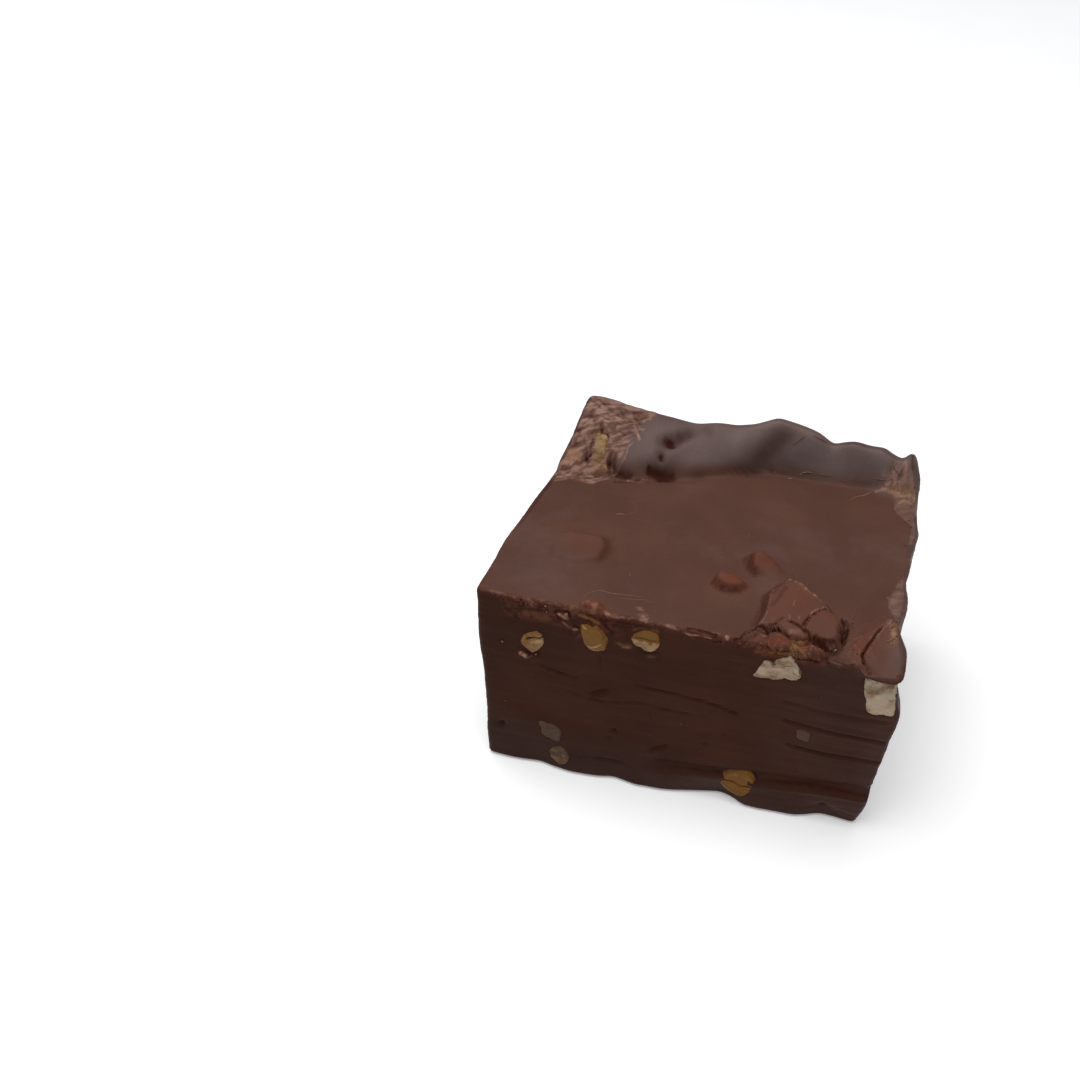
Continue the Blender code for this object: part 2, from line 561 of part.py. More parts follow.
def rim_nut_lump(grow):
    """The nut sliver in the rim's scraped end, lying along the slope."""
    half = [size / 2 for size in RIM_NUT_SIZE]
    bm = lump_shape("nut", half, grow, RIM_NUT_SEED)
    x, y = RIM_NUT_PLACE
    step = 1.0
    heights = top_height(np.array([x, x, x + step]), np.array([y, y + step, y]))
    normal = Vector((heights[0] - heights[2], heights[0] - heights[1], step)).normalized()
    slope = math.atan2(-normal.y, normal.z)
    turned = Euler((slope, 0.0, math.radians(RIM_NUT_TURN))).to_matrix()
    for vert in bm.verts:
        vert.co = Vector((x, y, heights[0])) + turned @ vert.co
    return bm, Vector((x, y, heights[0])), normal


def add_rim_nut(materials, pieces, pockets):
    """The bared nut sliver of the rim and its pocket."""
    piece, place, normal = rim_nut_lump(0.0)
    cut_flat(piece, place + normal * 0.25, normal)
    add_object("nut_rim", finish_mesh(piece, "nut_rim"), materials["nut"], pieces)
    pocket, _, _ = rim_nut_lump(POCKET_GAP)
    cutter = add_object("pocket_nut_rim", finish_mesh(pocket, "pocket_nut_rim"), materials["fudge"], pockets)
    cutter.hide_render = True
    cutter.display_type = "WIRE"


def clear_scene():
    """Removes whatever the scene holds."""
    for existing in list(bpy.data.objects):
        bpy.data.objects.remove(existing)


def main():
    clear_scene()
    scene_root = bpy.context.scene.collection
    pockets = bpy.data.collections.new("pockets")
    scene_root.children.link(pockets)
    materials = {name: make_material(name) for name in MATERIALS}
    block = add_object("fudge_block", block_mesh(), materials["fudge"], scene_root)
    for item in INCLUSIONS:
        add_inclusion(item, materials, scene_root, pockets)
    add_rim_nut(materials, scene_root, pockets)
    hollow = block.modifiers.new("pockets", "BOOLEAN")
    hollow.operation = "DIFFERENCE"
    hollow.operand_type = "COLLECTION"
    hollow.collection = pockets
    hollow.solver = "EXACT"


main()
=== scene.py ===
import math
from collections import namedtuple

import bmesh
import bpy
import numpy as np
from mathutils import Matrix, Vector


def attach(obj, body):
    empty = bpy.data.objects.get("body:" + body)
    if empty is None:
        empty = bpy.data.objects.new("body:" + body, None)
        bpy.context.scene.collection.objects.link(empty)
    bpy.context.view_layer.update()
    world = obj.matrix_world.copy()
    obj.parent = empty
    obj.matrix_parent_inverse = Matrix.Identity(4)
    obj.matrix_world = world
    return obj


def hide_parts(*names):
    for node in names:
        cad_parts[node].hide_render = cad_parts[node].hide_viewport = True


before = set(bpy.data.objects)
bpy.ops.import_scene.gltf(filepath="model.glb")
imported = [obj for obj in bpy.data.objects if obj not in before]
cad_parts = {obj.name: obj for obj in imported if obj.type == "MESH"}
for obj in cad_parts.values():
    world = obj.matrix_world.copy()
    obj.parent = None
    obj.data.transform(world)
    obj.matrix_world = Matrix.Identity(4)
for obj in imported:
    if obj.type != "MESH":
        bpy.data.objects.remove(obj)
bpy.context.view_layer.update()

# Looks for a hand-cut block of rocky road fudge. Lengths are in millimetres in the block's own frame,
# and become metres about the middle of its foot when a mesh is made.

MM = 0.001

# The block's corners in plan at the height of the poured surface, and its rounded or cut edges
FRONT_LEFT = (-31.7, -23.0)
FRONT_RIGHT = (31.0, -23.0)
BACK_RIGHT = (31.6, 24.0)
BACK_LEFT = (-27.2, 22.3)
SLAB_HEIGHT = 35.0
PLAN_CENTRE = (0.387, -0.541)
FRONT_WIDTH, BLOCK_DEPTH = 62.0, 46.0
CORNER_CUT = 0.35
TOP_EDGE_RADIUS = 0.7
BACK_EDGE_RADIUS = 2.2
FOOT_RADIUS = 0.6

# The rows round the top's edge, the walls' faint unevenness, and how finely places are worked out
EDGE_TURNS = (math.pi / 8, math.pi / 4, 3 * math.pi / 8)
PATCH_EDGE_ROWS = 7
ROUGHNESS = 0.18
X_SHIFT, Y_SHIFT = 1.7, 8.2
SETTLING_STEPS = 3
SHARE_STEPS = 4
GRADING_STEPS = 2001

# Mesh spacing at places across, back and up
SPACING_ACROSS = ((-32.0, 0.42), (24.0, 0.42), (26.0, 0.28), (32.0, 0.28))
SPACING_BACK = ((-24.0, 0.34), (-16.0, 0.34), (-12.0, 0.42), (25.0, 0.42))
SPACING_UP = ((0.0, 0.42), (28.0, 0.38), (33.0, 0.26), (45.0, 0.26))

# Finer pieces of the surface, laid over it where it is scraped or broken: their reach across, back and
# down. The block's own surface sinks under them, and each patch sinks at its own hem.
Patch = namedtuple("Patch", "name x_low x_high y_low y_high z_low spacing")
PATCHES = (
    Patch("fudge_scraped_rim", -28.6, -12.0, 5.6, 21.6, 20.0, 0.13),
    Patch("fudge_front_edge", -31.3, 9.8, -40.0, -20.6, 30.6, 0.14),
    Patch("fudge_broken_lump", 9.0, 24.8, -40.0, -10.4, 32.2, 0.12),
    Patch("fudge_right_end", 25.2, 31.6, -14.9, 21.9, 20.0, 0.16),
    Patch("fudge_corner_chunk", 24.1, 31.6, -40.0, -14.2, 32.6, 0.13),
)
COVER_DEPTH = 0.25
COVER_WIDTH = 60.0
COVER_START = 1.0
COVER_FULL = 1.6
HEM = 0.35
PATCH_LIFT = 0.012

# The rim along the back: where it starts, and how high its crest stands above the poured surface
RIM_FOOT = (
    (-31.0, 8.6), (-18.0, 9.4), (-12.0, 10.6), (-3.0, 14.4), (3.0, 17.0), (8.0, 18.0), (14.0, 17.6),
    (32.0, 18.2),
)
RIM_CREST = (
    (-31.0, 6.8), (-27.4, 7.4), (-26.2, 8.3), (-24.8, 8.6), (-22.5, 8.5), (-19.0, 7.8), (-13.5, 6.4),
    (-6.0, 5.9), (0.0, 6.3), (3.5, 7.1), (7.0, 8.8), (10.5, 8.1), (16.0, 6.0), (20.0, 6.5), (24.5, 5.6),
    (26.0, 4.4), (27.6, 3.9), (28.2, 4.3), (28.8, 5.0), (30.0, 5.6), (31.0, 5.2), (32.0, 4.4),
)
RIM_CREST_INSET = 2.4
RIM_CREASE_END = 9.0

# How far the rim's two ends lean inward as they rise above the poured surface
RIM_END_LEAN = 0.38
LEFT_LEAN = ((0.0, 0.0), (3.5, -1.33), (6.0, -1.75), (9.5, -1.95))

# How far the walls stand out: the front's foot along it, the right side near the front corner by height,
# and the right side's top edge by depth
FOOT_PROFILE = (
    (-30.0, 1.9), (-25.0, 1.8), (-21.0, 1.5), (-18.9, 2.0), (-16.0, 2.3), (-10.8, 1.9), (-8.8, 1.4),
    (-5.0, 2.1), (-2.8, 1.7), (1.1, 1.1), (4.8, 0.2), (8.6, -0.8), (10.6, -0.3), (12.8, 1.0), (20.4, 0.6),
    (22.2, 0.0), (24.5, -1.0), (26.0, -0.9), (29.7, -0.5),
)
FACE_LEAN_LEFT, FACE_LEAN_RIGHT = 1.7, 0.3
CORNER_PROFILE = (
    (0.0, -0.9), (1.2, -0.5), (4.5, 0.0), (10.4, 0.3), (13.4, 0.5), (16.3, 0.9), (21.8, 1.2), (25.5, 1.2),
    (28.0, 0.4), (29.6, -0.7), (31.0, -1.9), (32.2, -1.9), (33.4, 0.4), (35.2, 0.4), (36.4, -0.5),
    (38.0, -1.3),
)
SIDE_PROFILE = (
    (-19.0, -0.8), (-16.6, -1.6), (-14.1, -0.9), (-11.4, -0.4), (-8.6, -0.2), (-6.0, -0.3), (-3.2, -0.6),
    (-0.3, -0.2), (2.6, -0.4), (5.8, 0.1), (9.0, 0.6), (12.1, 0.3), (15.2, 0.1), (24.0, 0.1),
)

# The ledge along the front's foot, which rises to the right
LEDGE_LEFT, LEDGE_RIGHT, LEDGE_END = -6.0, 29.0, 35.0
LEDGE_HEIGHT_LEFT, LEDGE_HEIGHT_RIGHT = 4.2, 7.8
LEDGE_DEPTH = 1.1

# Soft mounds and dents of the poured surface and the rim
Mound = namedtuple("Mound", "x y wide deep turn tall")
MOUNDS = (
    Mound(-19.4, -11.4, 7.0, 6.2, 20, 1.1),
    Mound(11.6, -8.6, 4.6, 2.6, -40, 0.9),
    Mound(5.4, -11.8, 3.6, 2.6, -20, 0.5),
    Mound(24.5, 12.0, 6.0, 5.0, 0, 0.4),
    Mound(0.0, 3.0, 14.0, 9.0, 10, -0.5),
    Mound(30.5, 21.2, 1.1, 1.7, 0, 1.7),
)
RIM_DENTS = (
    Mound(-10.0, 16.6, 1.9, 1.1, 20, -1.1),
    Mound(-7.8, 18.2, 2.2, 0.8, 35, -0.6),
    Mound(-10.9, 14.3, 0.75, 0.6, 0, -0.8),
    Mound(-10.5, 12.5, 3.0, 1.1, 12, -1.4),
    Mound(-17.0, 10.7, 2.1, 0.8, 0, -0.8),
    Mound(-4.3, 14.2, 1.6, 0.5, 15, -0.5),
    Mound(5.4, 18.6, 3.2, 1.0, 27, -1.2),
    Mound(8.8, 20.2, 2.2, 0.9, 12, -0.7),
)
EDGE_DENTS = (
    Mound(16.5, 22.0, 1.8, 2.5, 0, -0.5),
    Mound(29.5, -24.5, 4.5, 3.0, 0, -1.2),
    Mound(22.6, -25.5, 4.6, 4.4, 0, -3.6),
)

# Lumps of the top as broken plates: the corners of each (x, y, z) with z above the poured surface, how
# steeply its sides fall, and how softly they meet what lies around
Plate = namedtuple("Plate", "corners steepness blend")
PLATES = (
    Plate(((13.6, -11.3, 3.0), (11.3, -13.6, 2.6), (11.3, -16.9, 1.9), (10.4, -20.3, 0.9),
           (12.6, -19.7, 1.3), (16.3, -19.8, 1.7), (17.6, -16.9, 2.3), (19.3, -15.4, 2.7),
           (18.7, -14.6, 2.9), (17.1, -13.2, 3.1), (15.5, -11.8, 3.2)), 1.5, 0.12),
    Plate(((17.7, -16.9, 2.5), (16.7, -19.6, 1.7), (18.1, -20.9, 1.2), (20.4, -21.2, 1.1),
           (22.0, -20.0, 1.4), (22.0, -18.2, 2.0), (20.8, -16.6, 2.6), (19.2, -16.1, 2.8)), 3.0, 0.12),
    Plate(((12.7, -19.9, 1.1), (14.8, -21.2, 0.7), (16.5, -21.5, 0.8), (17.7, -20.9, 1.1),
           (16.3, -19.9, 1.7), (14.4, -19.0, 1.7)), 2.5, 0.12),
    Plate(((12.1, -21.0, 0.9), (12.0, -22.4, 0.3), (12.9, -23.6, 0.0), (14.5, -23.6, 0.0),
           (15.4, -22.2, 0.5), (14.7, -21.1, 1.0), (13.3, -20.7, 1.1)), 2.2, 0.10),
    Plate(((10.2, -21.4, 0.5), (10.6, -24.0, 0.0), (11.8, -24.0, 0.0), (12.0, -22.0, 0.4),
           (11.4, -20.8, 0.7)), 2.0, 0.10),
    Plate(((16.6, -23.6, 0.0), (19.2, -23.2, 0.0), (19.8, -21.9, 0.5), (18.3, -21.6, 0.7),
           (16.9, -22.6, 0.3)), 1.6, 0.15),
    Plate(((28.3, -16.0, 2.7), (27.3, -17.4, 2.4), (25.8, -20.2, 0.5), (26.6, -22.3, -0.7),
           (28.9, -24.0, -1.2), (31.2, -23.6, -1.2), (32.2, -21.4, -0.2), (30.4, -17.4, 2.3)), 0.9, 0.35),
    Plate(((27.8, -15.8, 2.4), (25.0, -18.6, 0.8), (23.0, -21.0, -0.2), (24.6, -22.6, -1.0),
           (26.2, -22.0, -0.5), (27.4, -18.5, 1.9)), 0.7, 0.60),
    Plate(((2.9, -12.3, 2.0), (3.6, -13.1, 1.7), (5.2, -13.2, 1.5), (7.0, -12.5, 1.2), (7.1, -11.8, 1.4),
           (5.6, -11.2, 2.0), (4.0, -11.0, 2.4), (3.1, -11.4, 2.3)), 3.4, 0.25),
    Plate(((7.7, -6.1, 2.9), (7.9, -7.4, 2.2), (9.0, -8.8, 1.0), (11.6, -8.8, 0.7), (12.2, -7.4, 1.0),
           (10.4, -6.2, 2.2), (8.8, -5.5, 3.0)), 2.0, 0.60),
    Plate(((-22.6, -11.0, 2.0), (-22.0, -13.4, 1.7), (-18.6, -14.2, 1.5), (-15.2, -12.4, 1.6),
           (-14.9, -10.0, 1.9), (-15.8, -8.2, 2.3), (-20.6, -8.6, 2.4)), 1.1, 0.70),
    Plate(((-15.2, -22.0, 1.0), (-14.9, -24.4, 0.9), (-12.6, -24.4, 0.9), (-11.3, -23.6, 0.9),
           (-12.7, -21.7, 1.2), (-14.0, -21.3, 1.2)), 1.8, 0.15),
)

# Cracks of the top, as paths of (x, y) with their depth and half width. The dark ones are also
# painted dark, as painted shade in the crack.
Line = namedtuple("Line", "path depth width")
TOP_CRACKS = (
    Line(((19.0, -15.7), (18.2, -16.8), (17.3, -17.5), (16.8, -18.8), (16.4, -19.4)), 0.34, 0.17),
    Line(((14.6, -18.8), (15.4, -19.0), (16.3, -19.5), (17.4, -20.0), (17.9, -20.5)), 0.36, 0.17),
    Line(((17.9, -20.5), (18.7, -21.0), (19.5, -21.2), (20.6, -21.4), (21.5, -20.8),
          (22.3, -19.2)), 0.9, 0.40),
    Line(((7.7, -22.6), (8.4, -22.2), (9.2, -20.8), (10.3, -20.2), (11.5, -20.1), (12.1, -20.5),
          (12.5, -20.3), (13.6, -20.4), (14.4, -20.6), (15.0, -21.1), (15.9, -21.2), (16.9, -21.1),
          (18.0, -20.6)), 0.30, 0.20),
    Line(((13.6, -18.3), (13.2, -19.0), (12.7, -19.5), (11.9, -19.9)), 0.20, 0.18),
    Line(((12.1, -21.6), (12.4, -23.0)), 0.30, 0.18),
    Line(((22.4, -15.0), (22.6, -16.4), (22.6, -17.6), (22.4, -18.8)), 1.0, 0.42),
)
DARK_CRACKS = (
    Line(((27.2, -17.3), (26.2, -19.0), (25.8, -20.0), (25.3, -21.1), (25.7, -22.1),
          (26.8, -23.2)), 0.38, 0.14),
    Line(((-17.4, 9.0), (-15.2, 9.6), (-12.2, 10.6)), 0.3, 0.25),
)

# How broken the front's top edge is along it, the edge's line in depth and height, and where it is highest
FRONT_EDGE_BREAKAGE = (
    (-31.0, 0.1), (-28.0, 0.6), (-25.0, 0.9), (-19.0, 0.9), (-15.6, 1.0), (-11.5, 0.8), (-8.0, 0.5),
    (-6.0, 0.6), (-4.0, 0.2), (-1.0, 0.2), (0.5, 0.7), (6.0, 0.8), (8.5, 0.6), (10.0, 1.0), (20.5, 0.9),
    (23.0, 0.5), (26.0, 0.8), (31.0, 0.6),
)
EDGE_DEPTH, EDGE_HEIGHT = -22.6, 34.8
CROWN_DEPTH = -22.4

# The broken strip along the right end of the top lies to the left of this path of (x, y)
RIGHT_STRIP = (
    (26.6, 20.8), (26.8, 18.6), (27.3, 17.8), (27.7, 16.1), (28.0, 13.8), (28.7, 12.3), (29.7, 11.4),
    (30.6, 10.0), (30.5, 4.0), (30.3, -2.0), (29.0, -5.2), (28.2, -9.0), (28.4, -13.0), (29.2, -15.0),
    (31.5, -15.6),
)

# The scraped end of the rim: the turn and middle of its strokes, and its right border as (y, x)
SCRAPE_TURN = math.radians(29)
SCRAPE_MIDDLE = (-26.0, 16.0)
SCRAPED_EDGE = (
    (5.0, -21.0), (8.0, -20.4), (9.9, -18.3), (11.0, -17.5), (12.3, -16.9), (14.0, -16.5), (15.2, -15.8),
    (16.8, -15.3), (18.3, -15.0), (19.3, -14.1), (21.0, -13.2), (23.0, -13.0),
)

# Where the chocolate is reddish: middle, half widths, how sharply it ends, and how strong it is
Spot = namedtuple("Spot", "x y wide deep power share")
WARM_SPOTS = (
    Spot(4.9, -12.2, 2.9, 1.8, 4, 1.0),
    Spot(9.3, -6.8, 2.6, 1.9, 4, 0.8),
    Spot(-18.2, -10.2, 4.0, 3.0, 2, 0.5),
    Spot(15.6, -13.0, 3.2, 1.8, 2, 0.7),
    Spot(27.6, -18.4, 3.4, 3.4, 4, 0.28),
    Spot(-13.2, -22.6, 2.3, 2.2, 4, 0.9),
    Spot(16.2, -17.0, 5.6, 5.6, 6, 0.6),
    Spot(15.0, -21.8, 5.4, 1.6, 4, 0.9),
)

# Spots of painted sheen, and spots that are broken into angular bits
CORNER_SHEEN = Spot(30.4, -20.0, 2.0, 2.8, 2, 0.34)
RIM_END_SHEEN = Spot(26.2, 18.8, 2.8, 1.9, 2, 0.45)
HOLE_BITS = Spot(22.6, -18.2, 0.7, 2.0, 2, 0.8)
CORNER_BITS = Spot(25.2, -20.0, 1.8, 2.6, 4, 0.85)

# Marks with ragged sides: a path, its width and how strong it is. On the rim and the top a path runs
# through places (x, y). At the broken edge it runs through (x, s), where s is 0 at the top edge of the
# front, grows back over the top and falls down the front. Hollows are pressed in as well as painted
# dark, as painted shade. Pale marks hold painted highlights on lit edges besides pale scrapes and
# crumbs; dark marks hold painted shade in gaps, dents and on flanks besides dark stains.
Stroke = namedtuple("Stroke", "path width share")
# Pale scrapes and flecks, with painted highlights along the rim's crease and its lit ridges
RIM_PALE_AND_HIGHLIGHTS = (
    Stroke(((-21.3, 16.5), (-19.7, 17.1), (-17.4, 18.5), (-15.9, 19.4), (-13.6, 20.8)), 1.0, 0.85),
    Stroke(((-16.8, 17.4), (-15.6, 18.5), (-14.1, 19.5)), 0.7, 0.60),
    Stroke(((-21.1, 15.7), (-20.4, 16.5), (-19.7, 17.0)), 0.7, 0.60),
    Stroke(((-19.5, 14.3), (-18.3, 15.2), (-16.8, 16.3), (-15.9, 16.8)), 0.6, 0.60),
    Stroke(((-16.3, 17.6), (-15.7, 16.6), (-14.9, 15.5)), 0.7, 0.90),
    Stroke(((-15.7, 16.6), (-14.7, 17.5)), 0.5, 0.80),
    Stroke(((-18.9, 15.9), (-17.8, 16.7), (-16.8, 17.5)), 0.6, 0.65),
    Stroke(((-24.4, 18.3), (-23.6, 18.7), (-22.4, 19.0)), 0.6, 0.45),
    Stroke(((-23.0, 20.1), (-20.5, 20.6), (-18.0, 20.8)), 0.8, 0.30),
    Stroke(((-15.9, 14.7), (-16.4, 14.0), (-16.7, 12.3), (-17.3, 11.4), (-17.7, 10.6),
            (-18.1, 10.0)), 0.35, 0.60),
    Stroke(((-19.7, 11.1), (-19.6, 12.2), (-18.9, 12.7), (-18.2, 12.9)), 0.45, 0.65),
    Stroke(((-24.3, 13.5), (-23.8, 13.7), (-23.5, 13.2)), 0.6, 0.45),
    Stroke(((24.6, 17.6), (25.8, 18.4), (27.0, 18.6), (28.4, 18.4)), 0.45, 0.60),
    Stroke(((25.2, 19.7), (26.6, 19.9), (28.0, 19.4)), 0.45, 0.55),
    Stroke(((-28.1, 10.2), (-26.9, 10.2), (-25.6, 10.1), (-24.3, 9.9), (-23.7, 9.7), (-22.1, 9.8),
            (-21.0, 10.4)), 0.9, 0.85),
    Stroke(((-25.5, 10.7), (-24.4, 10.4), (-23.3, 10.2)), 0.9, 0.70),
    Stroke(((-21.2, 10.3), (-20.2, 10.8), (-19.3, 10.5)), 0.5, 0.95),
    Stroke(((-25.7, 8.5), (-25.0, 9.3), (-24.0, 9.5)), 0.6, 0.80),
    Stroke(((-27.2, 6.4), (-25.9, 7.3), (-24.5, 8.1)), 0.5, 0.45),
    Stroke(((-23.0, 8.7), (-22.2, 9.2), (-21.5, 9.2)), 0.5, 0.60),
    Stroke(((-15.5, 10.0), (-14.1, 9.9), (-13.1, 10.4), (-12.4, 10.8)), 0.45, 0.90),
    Stroke(((26.2, 19.0), (27.4, 19.3), (28.8, 19.5)), 0.75, 0.75),
    Stroke(((28.3, 21.2), (28.8, 20.4), (28.5, 19.6)), 0.60, 0.75),
    Stroke(((27.2, 20.6), (27.8, 20.0)), 0.50, 0.65),
    Stroke(((26.0, 20.4), (27.0, 20.2), (28.6, 20.6)), 0.35, 0.55),
    Stroke(((24.0, 18.7), (25.4, 18.6), (27.0, 18.4)), 0.30, 0.50),
    Stroke(((27.6, 18.2), (28.9, 18.0), (30.2, 18.2)), 0.45, 0.60),
    Stroke(((28.5, 16.0), (29.4, 17.1), (30.2, 16.5)), 0.50, 0.60),
    Stroke(((29.8, 19.6), (30.8, 18.8), (31.1, 16.6), (31.2, 13.9)), 0.60, 0.55),
    Stroke(((26.6, 18.9), (27.2, 17.8), (27.7, 16.1), (28.0, 13.8), (28.7, 12.3), (29.7, 11.4),
            (30.5, 10.3)), 0.30, 0.40),
    Stroke(((29.7, -6.9), (29.2, -8.5), (28.8, -10.2)), 1.5, 0.22),
    Stroke(((28.0, -8.8), (28.2, -10.6), (28.3, -12.6)), 0.25, 0.35),
    Stroke(((28.2, -16.2), (28.8, -16.9), (29.2, -18.0)), 0.9, 0.55),
    Stroke(((28.4, -16.4), (27.6, -17.2), (26.9, -18.4)), 0.30, 0.45),
)
RIM_OCHRE = (
    Stroke(((-21.5, 14.4), (-21.1, 13.2), (-20.8, 12.1)), 2.2, 0.85),
    Stroke(((-21.4, 11.6), (-20.6, 11.1), (-20.0, 10.7)), 2.0, 0.70),
    Stroke(((-26.6, 11.6), (-25.4, 11.2), (-24.2, 10.8)), 1.6, 0.55),
    Stroke(((-17.6, 17.4), (-16.4, 18.0), (-15.2, 18.8)), 0.8, 0.35),
    Stroke(((27.0, 18.7), (28.6, 18.3), (30.0, 18.4)), 2.2, 0.50),
    Stroke(((29.0, 17.0), (29.4, 15.4), (29.2, 14.0)), 1.6, 0.18),
    Stroke(((28.9, -16.4), (29.3, -17.4), (29.2, -18.6)), 1.4, 0.60),
    Stroke(((16.6, -12.6), (17.8, -13.4), (19.2, -14.3), (20.0, -15.0)), 1.6, 0.50),
)
RIM_HOLLOWS = (
    Stroke(((-22.3, 19.2), (-21.4, 18.9), (-20.4, 18.7)), 0.6, 0.60),
    Stroke(((-23.6, 17.2), (-23.0, 16.6), (-22.8, 16.0)), 1.4, 0.80),
    Stroke(((-26.0, 15.4), (-25.6, 14.6), (-25.2, 14.0)), 0.9, 0.70),
    Stroke(((-21.7, 15.9), (-21.5, 15.0), (-21.2, 14.5), (-20.3, 14.3)), 1.1, 0.90),
    Stroke(((-22.4, 13.2), (-22.6, 12.2), (-22.4, 11.4)), 0.7, 0.65),
    Stroke(((-19.1, 12.4), (-19.2, 11.6), (-19.0, 10.8), (-18.8, 10.2)), 1.0, 0.90),
    Stroke(((-18.2, 12.2), (-18.2, 11.2), (-18.0, 10.4)), 0.8, 0.70),
    Stroke(((-23.3, 11.4), (-22.6, 10.6)), 0.7, 0.65),
    Stroke(((-17.4, 10.4), (-16.2, 10.6), (-15.2, 10.7)), 1.2, 0.75),
)
# Dark patches of the scraped end, and painted shade in the rim's dents and valley, in a crack and on the
# lumps' flanks turned from the light
RIM_SHADE_AND_STAINS = (
    Stroke(((-10.9, 17.0), (-10.2, 16.9), (-9.6, 16.6)), 1.3, 0.65),
    Stroke(((-11.0, 14.4), (-10.8, 14.2)), 1.0, 0.85),
    Stroke(((-12.2, 12.1), (-10.6, 12.1), (-8.8, 12.6)), 2.1, 0.80),
    Stroke(((-7.4, 11.8), (-5.8, 12.2), (-4.6, 12.6)), 0.6, 0.35),
    Stroke(((-24.6, 19.4), (-23.4, 19.0), (-22.4, 18.2)), 0.5, 0.55),
    Stroke(((-8.4, 18.6), (-6.2, 19.3), (-4.2, 19.6)), 2.6, 0.30),
    Stroke(((-24.0, 13.0), (-23.4, 12.4), (-23.2, 11.6)), 0.6, 0.50),
    Stroke(((2.6, -12.3), (3.2, -13.2), (4.8, -13.7), (6.6, -13.1)), 1.3, 0.55),
    Stroke(((7.3, -6.4), (7.5, -7.8), (8.4, -8.8)), 1.3, 0.50),
    Stroke(((-15.0, -12.4), (-14.7, -11.0), (-14.9, -9.6)), 1.0, 0.25),
    Stroke(((30.0, 10.8), (30.7, 10.3)), 0.7, 0.60),
    Stroke(((27.2, -17.3), (26.2, -19.0), (25.8, -20.0), (25.3, -21.1), (25.7, -22.1)), 0.60, 0.90),
)
# Pale crumbs, with painted highlights along the lit top edge and the lump's crest and left edge
EDGE_PALE_AND_HIGHLIGHTS = (
    Stroke(((-15.7, 2.0), (-15.2, 1.8), (-14.3, 1.3), (-13.6, 1.1), (-13.1, 0.8)), 0.28, 0.70),
    Stroke(((-14.3, 0.5), (-13.7, 0.2), (-13.1, 0.1)), 0.9, 0.35),
    Stroke(((-13.0, 0.5), (-12.1, 0.3), (-11.3, 0.1), (-10.7, -0.1)), 0.5, 0.50),
    Stroke(((-11.7, 0.0), (-10.8, -0.1), (-9.6, -0.1), (-7.9, 0.0), (-6.4, 0.0), (-4.9, 0.0)), 0.28, 0.55),
    Stroke(((-7.2, 2.3), (-6.5, 1.8), (-5.8, 1.3), (-5.4, 0.8), (-5.0, 0.2), (-4.6, 0.0)), 0.5, 0.70),
    Stroke(((-6.4, 0.9), (-5.4, 0.2)), 1.2, 0.45),
    Stroke(((-4.0, 0.0), (-2.5, 0.0), (-1.2, 0.0), (0.0, -0.1)), 0.22, 0.50),
    Stroke(((0.0, -0.3), (1.1, -0.5), (2.1, -0.4), (3.0, -0.4), (4.1, -0.5)), 0.30, 0.90),
    Stroke(((6.2, 0.0), (6.5, -0.1)), 0.45, 0.95),
    Stroke(((-24.1, 0.0), (-23.3, -0.4), (-22.6, -0.9)), 0.30, 0.45),
    Stroke(((-23.4, 0.0), (-22.8, -0.3), (-22.2, -0.6)), 0.25, 0.35),
    Stroke(((-21.5, 0.0), (-20.0, -0.1), (-18.6, -0.1)), 0.28, 0.40),
    Stroke(((-29.5, 0.0), (-27.5, 0.0), (-25.4, -0.1)), 0.22, 0.25),
    Stroke(((-18.5, -1.6), (-17.9, -1.7), (-17.4, -1.9)), 0.75, 0.75),
    Stroke(((-17.7, -0.2), (-17.4, -0.3)), 0.40, 0.85),
    Stroke(((-18.0, -2.7), (-17.4, -3.4), (-16.8, -3.8), (-15.9, -4.0)), 0.30, 0.45),
    Stroke(((-16.4, -4.9), (-15.7, -4.4), (-15.3, -5.0), (-15.9, -5.7)), 0.40, 0.40),
    Stroke(((-24.4, -10.9), (-23.7, -11.2), (-23.6, -11.5)), 0.8, 0.95),
    Stroke(((-22.9, -11.1), (-22.2, -11.2)), 0.30, 0.60),
    Stroke(((-9.4, -5.2), (-8.4, -5.7), (-7.5, -5.7)), 0.45, 0.35),
    Stroke(((-4.7, -6.3), (-3.5, -6.2)), 0.7, 0.22),
    Stroke(((13.5, 11.2), (13.8, 11.1)), 0.45, 0.95),
    Stroke(((14.6, 10.9), (15.3, 10.4), (16.0, 9.8)), 0.75, 0.60),
    Stroke(((17.4, 9.0), (17.9, 8.7)), 0.50, 0.95),
    Stroke(((17.9, 8.7), (18.6, 7.9), (19.2, 7.4), (20.2, 6.8), (21.3, 6.0)), 0.35, 0.45),
    Stroke(((13.3, 10.9), (12.2, 9.6), (11.3, 8.4), (11.2, 5.6), (10.9, 3.6), (10.4, 2.6)), 0.32, 0.40),
    Stroke(((11.2, 8.4), (11.3, 8.1)), 0.45, 0.90),
    Stroke(((11.1, 5.8), (11.2, 5.5)), 0.45, 0.90),
    Stroke(((18.9, 7.0), (18.3, 6.4), (17.4, 5.7), (17.0, 4.8)), 0.30, 0.65),
    Stroke(((15.0, 2.2), (16.3, 2.3), (17.4, 1.9)), 1.1, 0.30),
    Stroke(((10.9, 0.9), (12.2, 0.8)), 0.26, 0.45),
    Stroke(((12.1, 0.8), (12.4, -0.4)), 0.30, 0.50),
    Stroke(((18.3, 0.8), (19.2, 1.1)), 0.55, 0.75),
    Stroke(((20.2, 1.5), (21.3, 1.9)), 0.30, 0.65),
    Stroke(((14.7, 7.5), (14.7, 6.6)), 0.30, 0.35),
    Stroke(((14.3, 4.9), (14.5, 4.1)), 0.30, 0.40),
    Stroke(((15.8, 4.7), (15.9, 4.2)), 0.30, 0.35),
    Stroke(((9.6, 2.8), (10.6, 3.0), (11.6, 3.1)), 0.24, 0.35),
)
